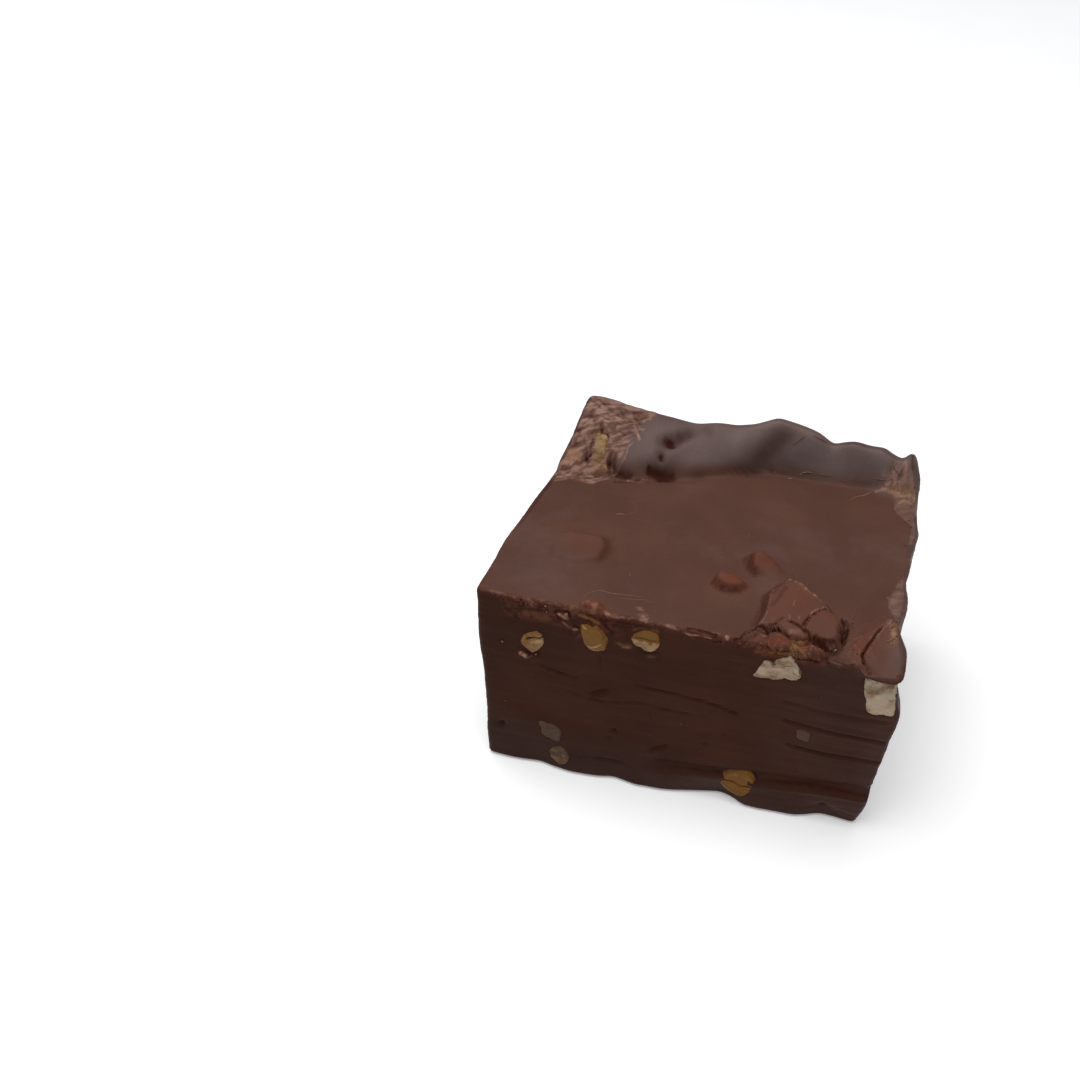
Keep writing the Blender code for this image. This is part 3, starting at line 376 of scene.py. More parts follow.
EDGE_OCHRE = (
    Stroke(((-15.2, -0.9), (-14.4, -1.2), (-13.5, -1.4), (-12.6, -1.8)), 0.8, 0.55),
    Stroke(((-16.6, 0.0), (-16.4, -0.9), (-15.8, -0.4)), 1.0, 0.30),
    Stroke(((-23.4, -2.3), (-22.0, -2.6), (-20.4, -2.9)), 1.9, 0.16),
    Stroke(((-9.4, -5.0), (-8.6, -5.4), (-7.6, -5.4)), 0.8, 0.40),
    Stroke(((-7.2, -1.6), (-5.6, -1.2), (-3.6, -1.3)), 0.8, 0.25),
    Stroke(((16.6, 9.6), (17.6, 9.6), (18.5, 9.6)), 1.1, 0.45),
    Stroke(((18.1, 2.4), (18.7, 2.0), (19.2, 1.6)), 0.7, 0.60),
    Stroke(((15.4, 1.2), (16.6, 0.3), (18.0, -0.2)), 1.0, 0.60),
    Stroke(((15.6, 0.1), (16.4, -0.7)), 1.0, 0.60),
    Stroke(((12.8, -0.9), (14.4, -0.8), (15.4, -0.6)), 0.7, 0.55),
    Stroke(((16.6, 1.2), (17.8, 0.8)), 0.7, 0.50),
)
# Dark red crumbly bits, and painted shade in the edge's gaps and holes and on the lump's left flank
EDGE_DARK = (
    Stroke(((-14.5, -0.4), (-13.6, -0.7), (-12.5, -1.1)), 0.6, 0.60),
    Stroke(((-14.7, -1.9), (-14.1, -1.6), (-13.5, -1.9)), 0.45, 0.80),
    Stroke(((-12.3, -0.8), (-11.7, -1.7), (-11.0, -2.5), (-10.4, -3.2)), 0.7, 0.80),
    Stroke(((-11.7, -1.0), (-9.6, -0.8), (-7.8, -0.7), (-6.0, -0.8), (-4.8, -1.0)), 0.8, 0.60),
    Stroke(((-10.6, -1.6), (-8.2, -1.5), (-5.6, -1.2)), 0.7, 0.35),
    Stroke(((-8.2, -1.9), (-7.9, -4.0)), 0.5, 0.35),
    Stroke(((0.7, 0.1), (1.8, 0.2), (2.8, 0.1), (3.6, 0.0), (4.8, -0.1)), 0.50, 0.90),
    Stroke(((4.5, -1.0), (5.8, -0.9)), 0.35, 0.80),
    Stroke(((1.4, -0.9), (3.2, -0.8), (4.6, -0.8)), 0.35, 0.45),
    Stroke(((-24.4, -0.4), (-24.1, -1.1)), 0.60, 0.85),
    Stroke(((-27.4, -0.8), (-25.9, -0.7), (-24.4, -0.6), (-22.6, -0.7), (-20.4, -0.6)), 0.5, 0.40),
    Stroke(((-26.9, -2.6), (-24.6, -1.9), (-22.2, -1.5), (-20.7, -1.5)), 0.5, 0.50),
    Stroke(((-25.3, -3.6), (-24.9, -3.9)), 0.55, 0.65),
    Stroke(((-19.0, -1.2), (-18.2, -0.8), (-17.1, -0.8), (-16.8, -1.6)), 0.55, 0.80),
    Stroke(((-18.9, -1.9), (-18.3, -2.5), (-17.4, -2.6)), 0.45, 0.65),
    Stroke(((-24.7, -9.6), (-23.8, -10.2), (-23.1, -11.1)), 0.55, 0.85),
    Stroke(((-22.7, -10.8), (-21.7, -10.6), (-21.3, -9.9)), 0.55, 0.85),
    Stroke(((-17.2, -4.4), (-16.6, -4.6), (-16.4, -5.2)), 0.5, 0.50),
    Stroke(((-6.9, -5.7), (-6.0, -5.7), (-5.1, -6.0), (-4.2, -5.8), (-3.3, -5.3)), 0.40, 0.90),
    Stroke(((-3.2, -6.0), (-3.0, -7.0)), 0.40, 0.45),
    Stroke(((12.3, 10.4), (11.0, 8.4), (10.4, 6.4), (10.2, 4.4), (9.9, 3.0)), 1.9, 0.35),
    Stroke(((13.2, 9.6), (12.5, 7.8), (11.8, 6.2)), 0.9, 0.35),
    Stroke(((18.2, 5.8), (17.7, 5.3), (17.3, 5.0), (17.0, 4.1), (16.6, 3.6)), 0.36, 0.90),
    Stroke(((14.6, 3.9), (15.4, 3.6), (16.2, 3.2), (17.4, 2.6), (17.9, 2.2)), 0.32, 0.85),
    Stroke(((13.6, 4.3), (13.2, 3.6), (12.7, 3.1), (11.9, 2.7)), 0.26, 0.60),
    Stroke(((7.4, -0.1), (8.2, 0.2), (9.1, 1.6), (10.2, 2.4), (11.4, 2.5), (11.9, 2.2)), 0.42, 0.95),
    Stroke(((8.2, -0.9), (9.4, 0.4), (10.4, 1.4), (11.4, 1.6)), 0.9, 0.40),
    Stroke(((11.6, 1.5), (12.3, 2.0)), 0.60, 0.90),
    Stroke(((12.4, 2.4), (13.6, 2.2), (14.4, 2.0), (14.9, 1.6)), 0.36, 0.90),
    Stroke(((15.0, 1.4), (15.9, 1.4), (16.9, 1.5), (17.9, 2.1)), 0.36, 0.75),
    Stroke(((12.2, -0.2), (12.8, -0.6), (13.7, -0.6)), 0.40, 0.85),
    Stroke(((18.3, 2.1), (18.9, 1.8), (19.6, 1.5), (20.2, 1.2)), 1.1, 0.95),
    Stroke(((20.0, 1.1), (20.9, 1.1), (21.5, 1.6)), 0.6, 0.95),
    Stroke(((19.1, 1.9), (20.3, 1.9), (21.2, 2.1)), 0.45, 0.85),
    Stroke(((22.3, 3.0), (22.5, 4.0), (22.7, 5.2), (22.9, 6.0)), 0.9, 0.95),
    Stroke(((21.9, 8.2), (22.3, 7.2), (22.5, 6.1)), 0.45, 0.80),
    Stroke(((16.7, -1.4), (17.8, -1.1), (18.9, -1.2), (19.6, -1.3)), 0.50, 0.90),
    Stroke(((13.6, -1.2), (14.8, -1.1), (16.0, -1.3)), 0.40, 0.45),
    Stroke(((21.6, -0.4), (22.5, -0.7), (23.5, -1.3)), 0.40, 0.80),
    Stroke(((22.2, -0.1), (23.1, -0.2)), 0.30, 0.55),
    Stroke(((22.9, -1.7), (23.4, -1.9)), 0.40, 0.75),
    Stroke(((20.0, -0.6), (21.2, -0.4), (22.2, 0.2)), 0.9, 0.35),
)

# Lines of the cut front, as paths of (x, z)
FRONT_GROOVES = (
    Line(((16.5, 20.6), (18.0, 20.3), (24.9, 20.0), (31.0, 20.0)), 0.30, 0.27),
    Line(((17.5, 15.8), (18.9, 15.5), (23.5, 15.0), (31.0, 15.4)), 0.32, 0.27),
    Line(((13.6, 6.4), (14.2, 6.0), (22.5, 7.2), (31.0, 7.7)), 0.50, 0.35),
    Line(((-1.8, 4.6), (5.1, 5.5), (8.6, 5.8)), 0.32, 0.24),
    Line(((-15.5, 4.3), (-7.4, 4.5)), 0.28, 0.22),
    Line(((-16.7, 17.8), (-11.3, 17.1), (-5.8, 18.3), (0.2, 17.9), (4.6, 18.3)), 0.20, 0.16),
    Line(((-6.2, 22.0), (-0.5, 21.9), (3.7, 21.3), (6.8, 21.0), (9.4, 20.2)), 0.26, 0.20),
    Line(((-20.9, 22.2), (-18.4, 21.5), (-15.4, 21.0)), 0.24, 0.20),
    Line(((-11.9, 26.4), (-11.5, 22.1)), 0.20, 0.16),
    Line(((-12.6, 18.5), (-10.6, 19.6)), 0.40, 0.40),
    Line(((18.8, 12.7), (19.8, 9.9), (22.4, 8.4), (26.8, 8.3), (27.4, 9.8), (27.1, 13.0)), 0.12, 0.16),
    Line(((16.0, 24.6), (21.0, 24.0), (30.5, 24.4)), 0.16, 0.30),
    Line(((-2.8, 8.4), (-0.6, 9.8)), 0.36, 0.34),
)

# Pits of the cut front: place along it and up, radius and depth
FRONT_PITS = (
    (-27.6, 7.5, 0.55, 0.8), (-9.0, 11.1, 0.4, 0.5), (-9.8, 9.4, 0.3, 0.3), (8.0, 15.0, 0.4, 0.3),
    (5.4, 12.2, 0.45, 0.3), (24.6, 3.6, 0.5, 0.5), (-22.9, 24.3, 0.5, 0.5),
)

# Random values at the points of two cubes, which all the noise is made from
LATTICE = np.random.default_rng(7).random((32, 32, 32))
FINE_LATTICE = np.random.default_rng(19).random((96, 96, 96))


def smooth_noise(points, size, shift=0.0, lattice=LATTICE):
    """Noise from -1 to 1 at each row of points, with lumps about size across."""
    scaled = np.asarray(points, float) / size + shift
    cell = np.floor(scaled).astype(int)
    inside = scaled - cell
    inside = inside * inside * (3 - 2 * inside)
    total = np.zeros(len(scaled))
    for corner in np.ndindex(2, 2, 2):
        weight = np.prod(np.where(corner, inside, 1 - inside), axis=1)
        i, j, k = ((cell + corner) % len(lattice)).T
        total += weight * lattice[i, j, k]
    return 2 * total - 1


def plane_noise(u, v, size, shift=0.0):
    """Fine noise on a plane; size may be one length, or a pair of lengths along u and v."""
    wide, tall = np.broadcast_to(size, 2)
    points = np.stack([u / wide, v / tall, np.full(len(u), 0.37)], axis=1)
    return smooth_noise(points, 1.0, shift, FINE_LATTICE)


def rough_noise(u, v, size, shift=0.0):
    """Three layers of fine noise, each half the size and half the strength of the one before."""
    total = plane_noise(u, v, size, shift)
    total += 0.5 * plane_noise(u, v, np.asarray(size) / 2, shift + 7.3)
    total += 0.25 * plane_noise(u, v, np.asarray(size) / 4, shift + 3.1)
    return total / 1.75


def ease(t):
    """0 to 1 in a soft S as t goes from 0 to 1."""
    t = np.clip(t, 0.0, 1.0)
    return t * t * (3 - 2 * t)


def on_profile(place, profile):
    """The value at a place from a profile's (place, value) points."""
    return np.interp(place, *np.array(profile).T)


def along_profile(x, profile):
    """The value at x from a profile's points, smoothed over its corners."""
    spread = np.linspace(-1.0, 1.0, 5)
    weights = np.cos(spread * math.pi / 2) + 0.2
    near = [w * on_profile(x + s, profile) for s, w in zip(spread, weights)]
    return sum(near) / weights.sum()


def smooth_max(a, b, blend):
    """The larger of a and b, with the corner between them rounded over blend."""
    h = np.clip(0.5 + 0.5 * (a - b) / blend, 0.0, 1.0)
    return b * (1 - h) + a * h + blend * h * (1 - h)


def path_distance(u, v, path):
    """How far each point is from a path, and on which side of it: positive to its left."""
    best = np.full(len(u), 1e3)
    side = np.zeros(len(u))
    for (u0, v0), (u1, v1) in zip(path, path[1:]):
        du, dv = u1 - u0, v1 - v0
        t = np.clip(((u - u0) * du + (v - v0) * dv) / (du * du + dv * dv), 0.0, 1.0)
        distance = np.hypot(u - u0 - t * du, v - v0 - t * dv)
        turned = du * (v - v0) - dv * (u - u0)
        nearer = distance < best
        best = np.where(nearer, distance, best)
        side = np.where(nearer, np.sign(turned), side)
    return best, side


def fragments(u, v, size, seed):
    """Broken angular pieces about size across: their tilted lift, and how near a border runs (0 at it)."""
    cell_u, cell_v = np.floor(u / size).astype(int), np.floor(v / size).astype(int)
    nearest = np.full(len(u), 1e3)
    second = np.full(len(u), 1e3)
    lift = np.zeros(len(u))
    for du, dv in np.ndindex(3, 3):
        i, j = cell_u + du - 1, cell_v + dv - 1
        random = [FINE_LATTICE[i % len(FINE_LATTICE), j % len(FINE_LATTICE), seed + k] for k in range(5)]
        seed_u = (i + 0.5 + 0.9 * (random[0] - 0.5)) * size
        seed_v = (j + 0.5 + 0.9 * (random[1] - 0.5)) * size
        distance = np.hypot(u - seed_u, v - seed_v)
        tilted = (random[2] - 0.5) * (u - seed_u) + (random[3] - 0.5) * (v - seed_v)
        height = (random[4] - 0.5) + 1.6 * tilted / size
        nearer = distance < nearest
        second = np.where(nearer, nearest, np.minimum(second, distance))
        lift = np.where(nearer, height, lift)
        nearest = np.where(nearer, distance, nearest)
    return lift, ease((second - nearest) / (0.25 * size))


def side_line(face, along):
    """Where the plain cut of a face stands: Y for front and back, X for left and right."""
    ends = {
        "front": (FRONT_LEFT, FRONT_RIGHT, 0),
        "back": (BACK_LEFT, BACK_RIGHT, 0),
        "left": (FRONT_LEFT, BACK_LEFT, 1),
        "right": (FRONT_RIGHT, BACK_RIGHT, 1),
    }
    start, end, axis = ends[face]
    t = (along - start[axis]) / (end[axis] - start[axis])
    return start[1 - axis] + t * (end[1 - axis] - start[1 - axis])


def mound_height(x, y, mound):
    """A smooth bump or dent."""
    turn = math.radians(mound.turn)
    dx, dy = x - mound.x, y - mound.y
    u = (dx * math.cos(turn) + dy * math.sin(turn)) / mound.wide
    v = (dy * math.cos(turn) - dx * math.sin(turn)) / mound.deep
    return mound.tall * np.exp(-1.2 * (u * u + v * v))


def spot_share(x, y, spot):
    """How strongly a spot covers each point."""
    distance = np.hypot((x - spot.x) / spot.wide, (y - spot.y) / spot.deep)
    return spot.share * np.exp(-(distance ** spot.power))


def outline_depth(u, v, outline):
    """How far inside a closed outline each point lies; negative outside it."""
    closed = np.array(list(outline) + [outline[0]])
    distance, _ = path_distance(u, v, closed)
    crossings = np.zeros(len(u), int)
    for (u0, v0), (u1, v1) in zip(closed, closed[1:]):
        spans = (v0 > v) != (v1 > v)
        reached = u0 + (v - v0) * (u1 - u0) / (v1 - v0 + 1e-12)
        crossings += spans & (u < reached)
    return np.where(crossings % 2, distance, -distance)


def plate_height(x, y, plate):
    """A broken plate: a plane through its corners that falls steeply outside its outline."""
    corners = np.array(plate.corners)
    columns = np.column_stack([corners[:, :2], np.ones(len(corners))])
    plane, *_ = np.linalg.lstsq(columns, corners[:, 2], rcond=None)
    depth = outline_depth(x, y, corners[:, :2])
    worn = 0.12 * np.exp(-np.clip(depth, 0.0, None) / 0.25)
    return plane[0] * x + plane[1] * y + plane[2] + plate.steepness * np.minimum(depth, 0.0) - worn


def rim_height(x, y):
    """The thick rim along the tray's side."""
    foot = along_profile(x, RIM_FOOT)
    crest = along_profile(x, RIM_CREST)
    crest_line = side_line("back", x) - RIM_CREST_INSET
    t = np.clip((y - foot) / (crest_line - foot), 0.0, 1.0)
    creased = t * (1.35 - 0.35 * t) + 0.06 * np.sin(t * math.pi)
    straight = 0.20 - 0.15 * ease((x - 8.0) / 6.0)
    soft = (1 - straight) * ease(t) + straight * t
    share = ease((RIM_CREASE_END + 4.0 - x) / 8.0)
    return crest * (share * creased + (1 - share) * soft)


def scraped_share(x, y):
    """How scraped the rim's left end and the right end of the top are, from 0 to 1."""
    wander = 0.7 * plane_noise(x, y, 2.4, 4.4)
    edge = on_profile(y, SCRAPED_EDGE)
    left = ease((edge - x + wander) / 0.8) * ease((y - 6.4 + 1.5 * wander) / 2.2)
    corner = 1 - ease((np.hypot(x - 28.0, (y - 19.4) * 1.1) - 1.4 + wander) / 1.4)
    return np.clip(left + 0.6 * corner, 0.0, 1.0)


def strip_share(x, y):
    """The broken strip along the right end of the top."""
    distance, side = path_distance(x, y + 0.3 * plane_noise(x, y, 1.4, 1.1), RIGHT_STRIP)
    return ease(0.5 + side * distance / 0.5) * ease((21.5 - y) / 1.0) * ease((y + 16.0) / 1.0)


def crumbled_top(x, y):
    """Where the top's broken lump has come apart in angular bits."""
    in_front = ease((-20.4 - y) / 0.7) * ease((x - 10.0) / 1.2) * ease((21.4 - x) / 1.5)
    return np.clip(in_front + spot_share(x, y, HOLE_BITS) + spot_share(x, y, CORNER_BITS), 0.0, 1.0)


def close_to(u, v, path, reach):
    """The points within a path's own box, widened by a reach."""
    low, high = np.min(path, axis=0) - reach, np.max(path, axis=0) + reach
    return np.flatnonzero((u > low[0]) & (u < high[0]) & (v > low[1]) & (v < high[1]))


def painted(u, v, strokes, shift, dotted=0.0):
    """How strongly strokes with ragged sides, or broken up into dots, cover each point, from 0 to 1."""
    cover = np.zeros(len(u))
    for stroke in strokes:
        near = close_to(u, v, stroke.path, stroke.width + 0.5)
        if not len(near):
            continue
        here_u, here_v = u[near], v[near]
        wander = 0.16 * plane_noise(here_u, here_v, 0.9, shift)
        ragged = 0.30 * plane_noise(here_u, here_v, 0.45, shift + 9.0)
        distance, _ = path_distance(here_u + wander, here_v - wander, stroke.path)
        share = stroke.share * ease(1.2 + ragged - 2 * distance / stroke.width)
        share *= 1 - dotted * ease(0.5 - 1.6 * plane_noise(here_u, here_v, 0.7, shift + 4.0))
        cover[near] = np.maximum(cover[near], share)
    return cover


def edge_run(y, z):
    """How far back over the top a point lies from the front's top edge, or down the front, as a negative."""
    return np.maximum(y - EDGE_DEPTH, 0.0) + np.minimum(z - EDGE_HEIGHT, 0.0)


def edge_pale(x, run):
    """The pale marks of the front's broken edge: pale crumbs, and painted highlights on lit edges."""
    return painted(x, run, EDGE_PALE_AND_HIGHLIGHTS, 23.0, 0.85)


def edge_dark(x, run):
    """The dark gaps of the front's broken edge, in painted shade, and its dark red crumbly bits."""
    return painted(x, run, EDGE_DARK, 33.0)


def crack_depth(distance, line):
    """How deep a crack or groove is at a distance from its middle."""
    return line.depth * np.exp(-((distance / line.width) ** 2))


def scrape_frame(x, y):
    """Distances along and across the scraped end's strokes, whose direction wanders a little."""
    turn = SCRAPE_TURN + 0.6 * plane_noise(x, y, 4.5, 29.0)
    from_x, from_y = x - SCRAPE_MIDDLE[0], y - SCRAPE_MIDDLE[1]
    return from_x * np.cos(turn) + from_y * np.sin(turn), from_y * np.cos(turn) - from_x * np.sin(turn)


def fine_top(x, y):
    """Fine relief of the top."""
    height = 0.03 * rough_noise(x, y, 2.2, 2.0)
    scraped = scraped_share(x, y)
    height += scraped * (0.16 * rough_noise(*scrape_frame(x, y), (2.6, 0.7), 5.0) - 0.10)
    height += 0.14 * painted(x, y, RIM_PALE_AND_HIGHLIGHTS, 3.0) - 0.22 * painted(x, y, RIM_HOLLOWS, 13.0)
    height -= 0.22 * strip_share(x, y) * (1 + 1.1 * rough_noise(x, y, 1.4, 8.8))
    wander_x = x + 0.16 * plane_noise(x, y, 0.9, 3.3) + 0.09 * plane_noise(x, y, 0.4, 13.3)
    wander_y = y + 0.16 * plane_noise(x, y, 0.9, 6.6) + 0.09 * plane_noise(x, y, 0.4, 16.6)
    for crack in TOP_CRACKS + DARK_CRACKS:
        near = close_to(x, y, crack.path, 1.2)
        distance, _ = path_distance(wander_x[near], wander_y[near], crack.path)
        height[near] -= crack_depth(distance, crack)
    crumbled = crumbled_top(x, y)
    lift, border = fragments(x, y, 1.9, 3)
    height += crumbled * (0.30 * lift * border - 0.10 * (1 - border) + 0.05 * rough_noise(x, y, 0.9, 4.6))
    run = np.maximum(y - EDGE_DEPTH, 0.0)
    height += 0.07 * edge_pale(x, run) - 0.10 * edge_dark(x, run)
    return height


def top_height(x, y):
    """The poured surface, with its rim, mounds, lumps and fine relief."""
    flat = np.stack([x, y, np.zeros_like(x)], axis=1)
    height = 0.22 * smooth_noise(flat, 13.0) + 0.08 * smooth_noise(flat, 5.0, 9.3)
    height += sum(mound_height(x, y, m) for m in MOUNDS)
    rim = rim_height(x, y)
    height += rim + ease(rim) * 0.35 * smooth_noise(flat, 4.0, 3.7)
    height += sum(mound_height(x, y, d) for d in RIM_DENTS + EDGE_DENTS)
    uneven_x = x + 0.18 * plane_noise(x, y, 1.3, 41.0)
    uneven_y = y + 0.18 * plane_noise(x, y, 1.3, 47.0)
    for plate in PLATES:
        height = smooth_max(plate_height(uneven_x, uneven_y, plate), height, plate.blend)
    return SLAB_HEIGHT + height + fine_top(x, y)


def ledge_line(x):
    """The height of the ledge along the foot of the front."""
    t = (x - LEDGE_LEFT) / (LEDGE_RIGHT - LEDGE_LEFT)
    return LEDGE_HEIGHT_LEFT + t * (LEDGE_HEIGHT_RIGHT - LEDGE_HEIGHT_LEFT)


def edge_breakage(face, along):
    """How broken a cut's top edge is, from 0 to 1."""
    if face == "front":
        return on_profile(along, FRONT_EDGE_BREAKAGE)
    return 0.30 + 0.35 * plane_noise(along, np.zeros(len(along)), 9.0, 3.0)


def crumbled_cut(face, along, z, seed):
    """Crumbs and fragments where the knife broke the top edge of a cut, as a push outward."""
    edge = ease((z - 34.0 + 0.5 * plane_noise(along, z, 1.3, seed)) / 0.8) * edge_breakage(face, along)
    lift, border = fragments(along, z, 0.9, 5)
    return edge * (0.20 * lift * border - 0.08 * (1 - border) + 0.06 * plane_noise(along, z, 0.45, seed))


def drag_marks(along, z, seed):
    """The knife's drag: long shallow waves along the cut."""
    waves = 0.07 * plane_noise(along, z, (9.0, 0.9), seed)
    waves += 0.04 * plane_noise(along, z, (5.0, 0.4), seed + 2.2)
    return waves + 0.10 * plane_noise(along, z, (7.0, 3.4), seed + 5.1)


def front_marks(x, z):
    """The front's grooves, pits and broken bits, as a push outward."""
    wander = 0.25 * plane_noise(x, z, (3.0, 1.4), 2.9)
    push = np.zeros(len(x))
    for groove in FRONT_GROOVES:
        distance, side = path_distance(x, z + wander, groove.path)
        push -= crack_depth(distance, groove)
        below = np.where(side < 0, 1.0, 0.35)
        push += 0.40 * groove.depth * below * np.exp(-(((distance - 2.0 * groove.width) / groove.width) ** 2))
    for pit_x, pit_z, radius, depth in FRONT_PITS:
        push -= depth * np.exp(-(((x - pit_x) ** 2 + (z - pit_z) ** 2) / radius ** 2))
    band = ease((z - 30.4) / 1.2) * ease((-8.6 - x) / 1.5) * ease((x + 27.5) / 1.5)
    push += band * 0.16 * rough_noise(x, z, 0.55, 4.1)
    broken = ease((z - 33.2) / 0.8) * ease((x - 10.4) / 1.0) * ease((21.6 - x) / 1.4)
    lift, border = fragments(x, z, 1.9, 21)
    push += broken * (0.42 * lift * border - 0.14 * (1 - border) + 0.08 * rough_noise(x, z, 0.9, 7.7))
    run = np.minimum(z - EDGE_HEIGHT, 0.0)
    push += 0.10 * edge_pale(x, run) - 0.16 * edge_dark(x, run)
    foot = ease((5.2 - z) / 1.5) * ease((x - 11.0) / 2.0)
    push += foot * 0.22 * rough_noise(x, z, (2.4, 1.3), 9.4)
    return push


def front_push(x, z):
    """How far the front stands out past its plain cut."""
    up = np.clip(z / SLAB_HEIGHT, 0.0, 1.1)
    foot = along_profile(x, FOOT_PROFILE)
    lean = FACE_LEAN_LEFT + (FACE_LEAN_RIGHT - FACE_LEAN_LEFT) * ease((x + 30.0) / 60.0)
    push = lean * (1 - up) + (foot - lean) * ease(1 - z / 7.0)
    there = ease((x - LEDGE_LEFT) / 6.0) * ease((LEDGE_END - x) / 4.0)
    below = ease(0.5 + (ledge_line(x) - z) / 1.0)
    above = np.exp(-(((z - ledge_line(x) - 0.9) / 0.9) ** 2))
    push += there * (0.45 * LEDGE_DEPTH * below - 0.55 * LEDGE_DEPTH * above)
    overhang = ease((x - 24.0) / 2.5) * ease((z - 32.5) / 0.9)
    push = push + 1.1 * overhang
    drag = drag_marks(x, z, 1.0) * (0.7 + 0.8 * ease((x - 12.0) / 8.0))
    return push + drag + front_marks(x, z) + crumbled_cut("front", x, z, 1.7)


def right_push(y, z):
    """How far the right side stands out: uneven along its top edge, bulging at the front corner."""
    at_corner = ease((-14.5 - y) / 5.0)
    lean = -1.4 * (1 - z / SLAB_HEIGHT)
    plain = along_profile(y, SIDE_PROFILE) * ease((z - 16.0) / 16.0) + lean
    rim_lean = -RIM_END_LEAN * np.maximum(z - SLAB_HEIGHT, 0.0) * ease((y - 10.0) / 6.0)
    push = at_corner * along_profile(z, CORNER_PROFILE) + (1 - at_corner) * plain + rim_lean
    return push + drag_marks(y, z, 31.0) + crumbled_cut("right", y, z, 12.3)


def left_push(y, z):
    """How far the left side stands out."""
    lean = 0.55 * ease((25.0 - z) / 10.0) + 0.35 * ease((6.0 - z) / 6.0) + 0.8 * (1 - z / SLAB_HEIGHT)
    rim_lean = on_profile(z - SLAB_HEIGHT, LEFT_LEAN) * ease((y - 6.0) / 6.0)
    push = 0.3 * np.sin((y + 23.0) / 7.0) * ease(z / 20.0) - lean + rim_lean
    return push + drag_marks(y, z, 51.0) + crumbled_cut("left", y, z, 23.9)


def back_push(x, z):
    """The tray's side: a slight draft and the shallow waves of its lining."""
    waves = 0.06 * plane_noise(x, z, (2.5, 14.0), 8.0)
    return -1.2 * (1 - z / SLAB_HEIGHT) + 0.25 * np.sin(x / 4.3) * ease(z / 12.0) + waves


PUSHES = {"front": front_push, "right": right_push, "left": left_push}
OUTWARD = {"front": -1, "right": 1, "left": -1}


def roughness(x, y, z, shift):
    """The faint unevenness of the walls."""
    return ROUGHNESS * smooth_noise(np.stack([x, y, z], axis=1), 6.0, shift)


def plan_place(across, back):
    """The plain plan place for shares of the width and the depth, with its upright corners taken off."""
    corners = np.array([FRONT_LEFT, FRONT_RIGHT, BACK_LEFT, BACK_RIGHT])
    weights = np.stack([(1 - across) * (1 - back), across * (1 - back), (1 - across) * back, across * back])
    places = np.tensordot(weights.T, corners, axes=1)
    near_side = np.minimum(across, 1 - across) * FRONT_WIDTH
    near_end = np.minimum(back, 1 - back) * BLOCK_DEPTH
    taken = CORNER_CUT * np.exp(-(near_side + near_end) / CORNER_CUT)
    inward = np.stack([np.sign(0.5 - across), np.sign(0.5 - back)], axis=1)
    return places + inward * taken[:, None]


def inside_patch(patch, x, y, z):
    """How far inside a patch's borders each point lies."""
    borders = (x - patch.x_low, patch.x_high - x, y - patch.y_low, patch.y_high - y, z - patch.z_low)
    return np.minimum.reduce(borders)


def covered(inside):
    """How surely a patch covers a point that lies so far inside its borders, from 0 to 1."""
    return ease((inside - COVER_START) / (COVER_FULL - COVER_START))


def under_patches(across, x, y, z):
    """How far the block's own surface is sunk, so that the patches alone show where they lie."""
    share = np.zeros(len(x))
    for patch in PATCHES:
        share = np.maximum(share, covered(inside_patch(patch, x, y, z)))
    from_side = COVER_WIDTH * np.minimum(across, 1 - across)
    return COVER_DEPTH * share * covered(from_side)


def patch_hem(patch):
    """How far a patch is sunk near its border, as a function of the place."""
    def sunk(_, x, y, z):
        return COVER_DEPTH * np.clip(1 - inside_patch(patch, x, y, z) / HEM, 0.0, 1.0) ** 2 - PATCH_LIFT
    return sunk


def shaped_place(across, back, z, inset, sunk):
    """The plan place with the relief of the four walls, which fades from each wall to the opposite one."""
    plain = plan_place(across, back)
    place = plain
    for _ in range(SETTLING_STEPS):
        x, y = place.T
        rough_x = roughness(x, y, z, X_SHIFT)
        rough_y = roughness(x, y, z, Y_SHIFT)
        left = inset * TOP_EDGE_RADIUS - left_push(y, z)
        right = right_push(y, z) - inset * TOP_EDGE_RADIUS
        front = inset * TOP_EDGE_RADIUS - front_push(x, z) + sunk(across, x, y, z)
        rear = back_push(x, z) - inset * BACK_EDGE_RADIUS
        move_x = (1 - across) * (left + rough_x) + across * (right + rough_x)
        move_y = (1 - back) * (front + rough_y) + back * (rear + rough_y)
        place = plain + np.stack([move_x, move_y], axis=1)
    return place


def top_place(across, back, sunk):
    """Points of the top, whose edge lies inside the walls by the edge radii."""
    z = np.full(len(across), SLAB_HEIGHT)
    for _ in range(SETTLING_STEPS):
        place = shaped_place(across, back, z, np.ones(len(z)), sunk)
        z = top_height(*place.T) - sunk(across, *place.T, z)
    return np.column_stack([place, z])


def graded_shares(start, end, spacing):
    """Shares from 0 to 1 between two places, as close together as the spacing asks for."""
    places = np.linspace(start, end, GRADING_STEPS)
    density = 1.0 / on_profile(places, spacing)
    count = np.concatenate([[0.0], np.cumsum((density[1:] + density[:-1]) / 2 * np.diff(places))])
    wanted = np.linspace(0.0, count[-1], round(count[-1]) + 1)
    return (np.interp(wanted, count, places) - start) / (end - start)


def in_metres(points):
    """Points in the block's millimetres as metres about the middle of its foot."""
    return (np.asarray(points, float) - np.array([PLAN_CENTRE[0], PLAN_CENTRE[1], 0.0])) * MM


def new_object(name, verts, faces, attributes=None):
    """A smooth-shaded object from points in millimetres, with float attributes at its points."""
    mesh = bpy.data.meshes.new(name)
    mesh.from_pydata(in_metres(verts).tolist(), [], faces)
    for label, values in (attributes or {}).items():
        layer = mesh.attributes.new(label, "FLOAT", "POINT")
        layer.data.foreach_set("value", np.asarray(values, np.float32))
    mesh.shade_smooth()
    made = bpy.data.objects.new(name, mesh)
    bpy.context.scene.collection.objects.link(made)
    return made


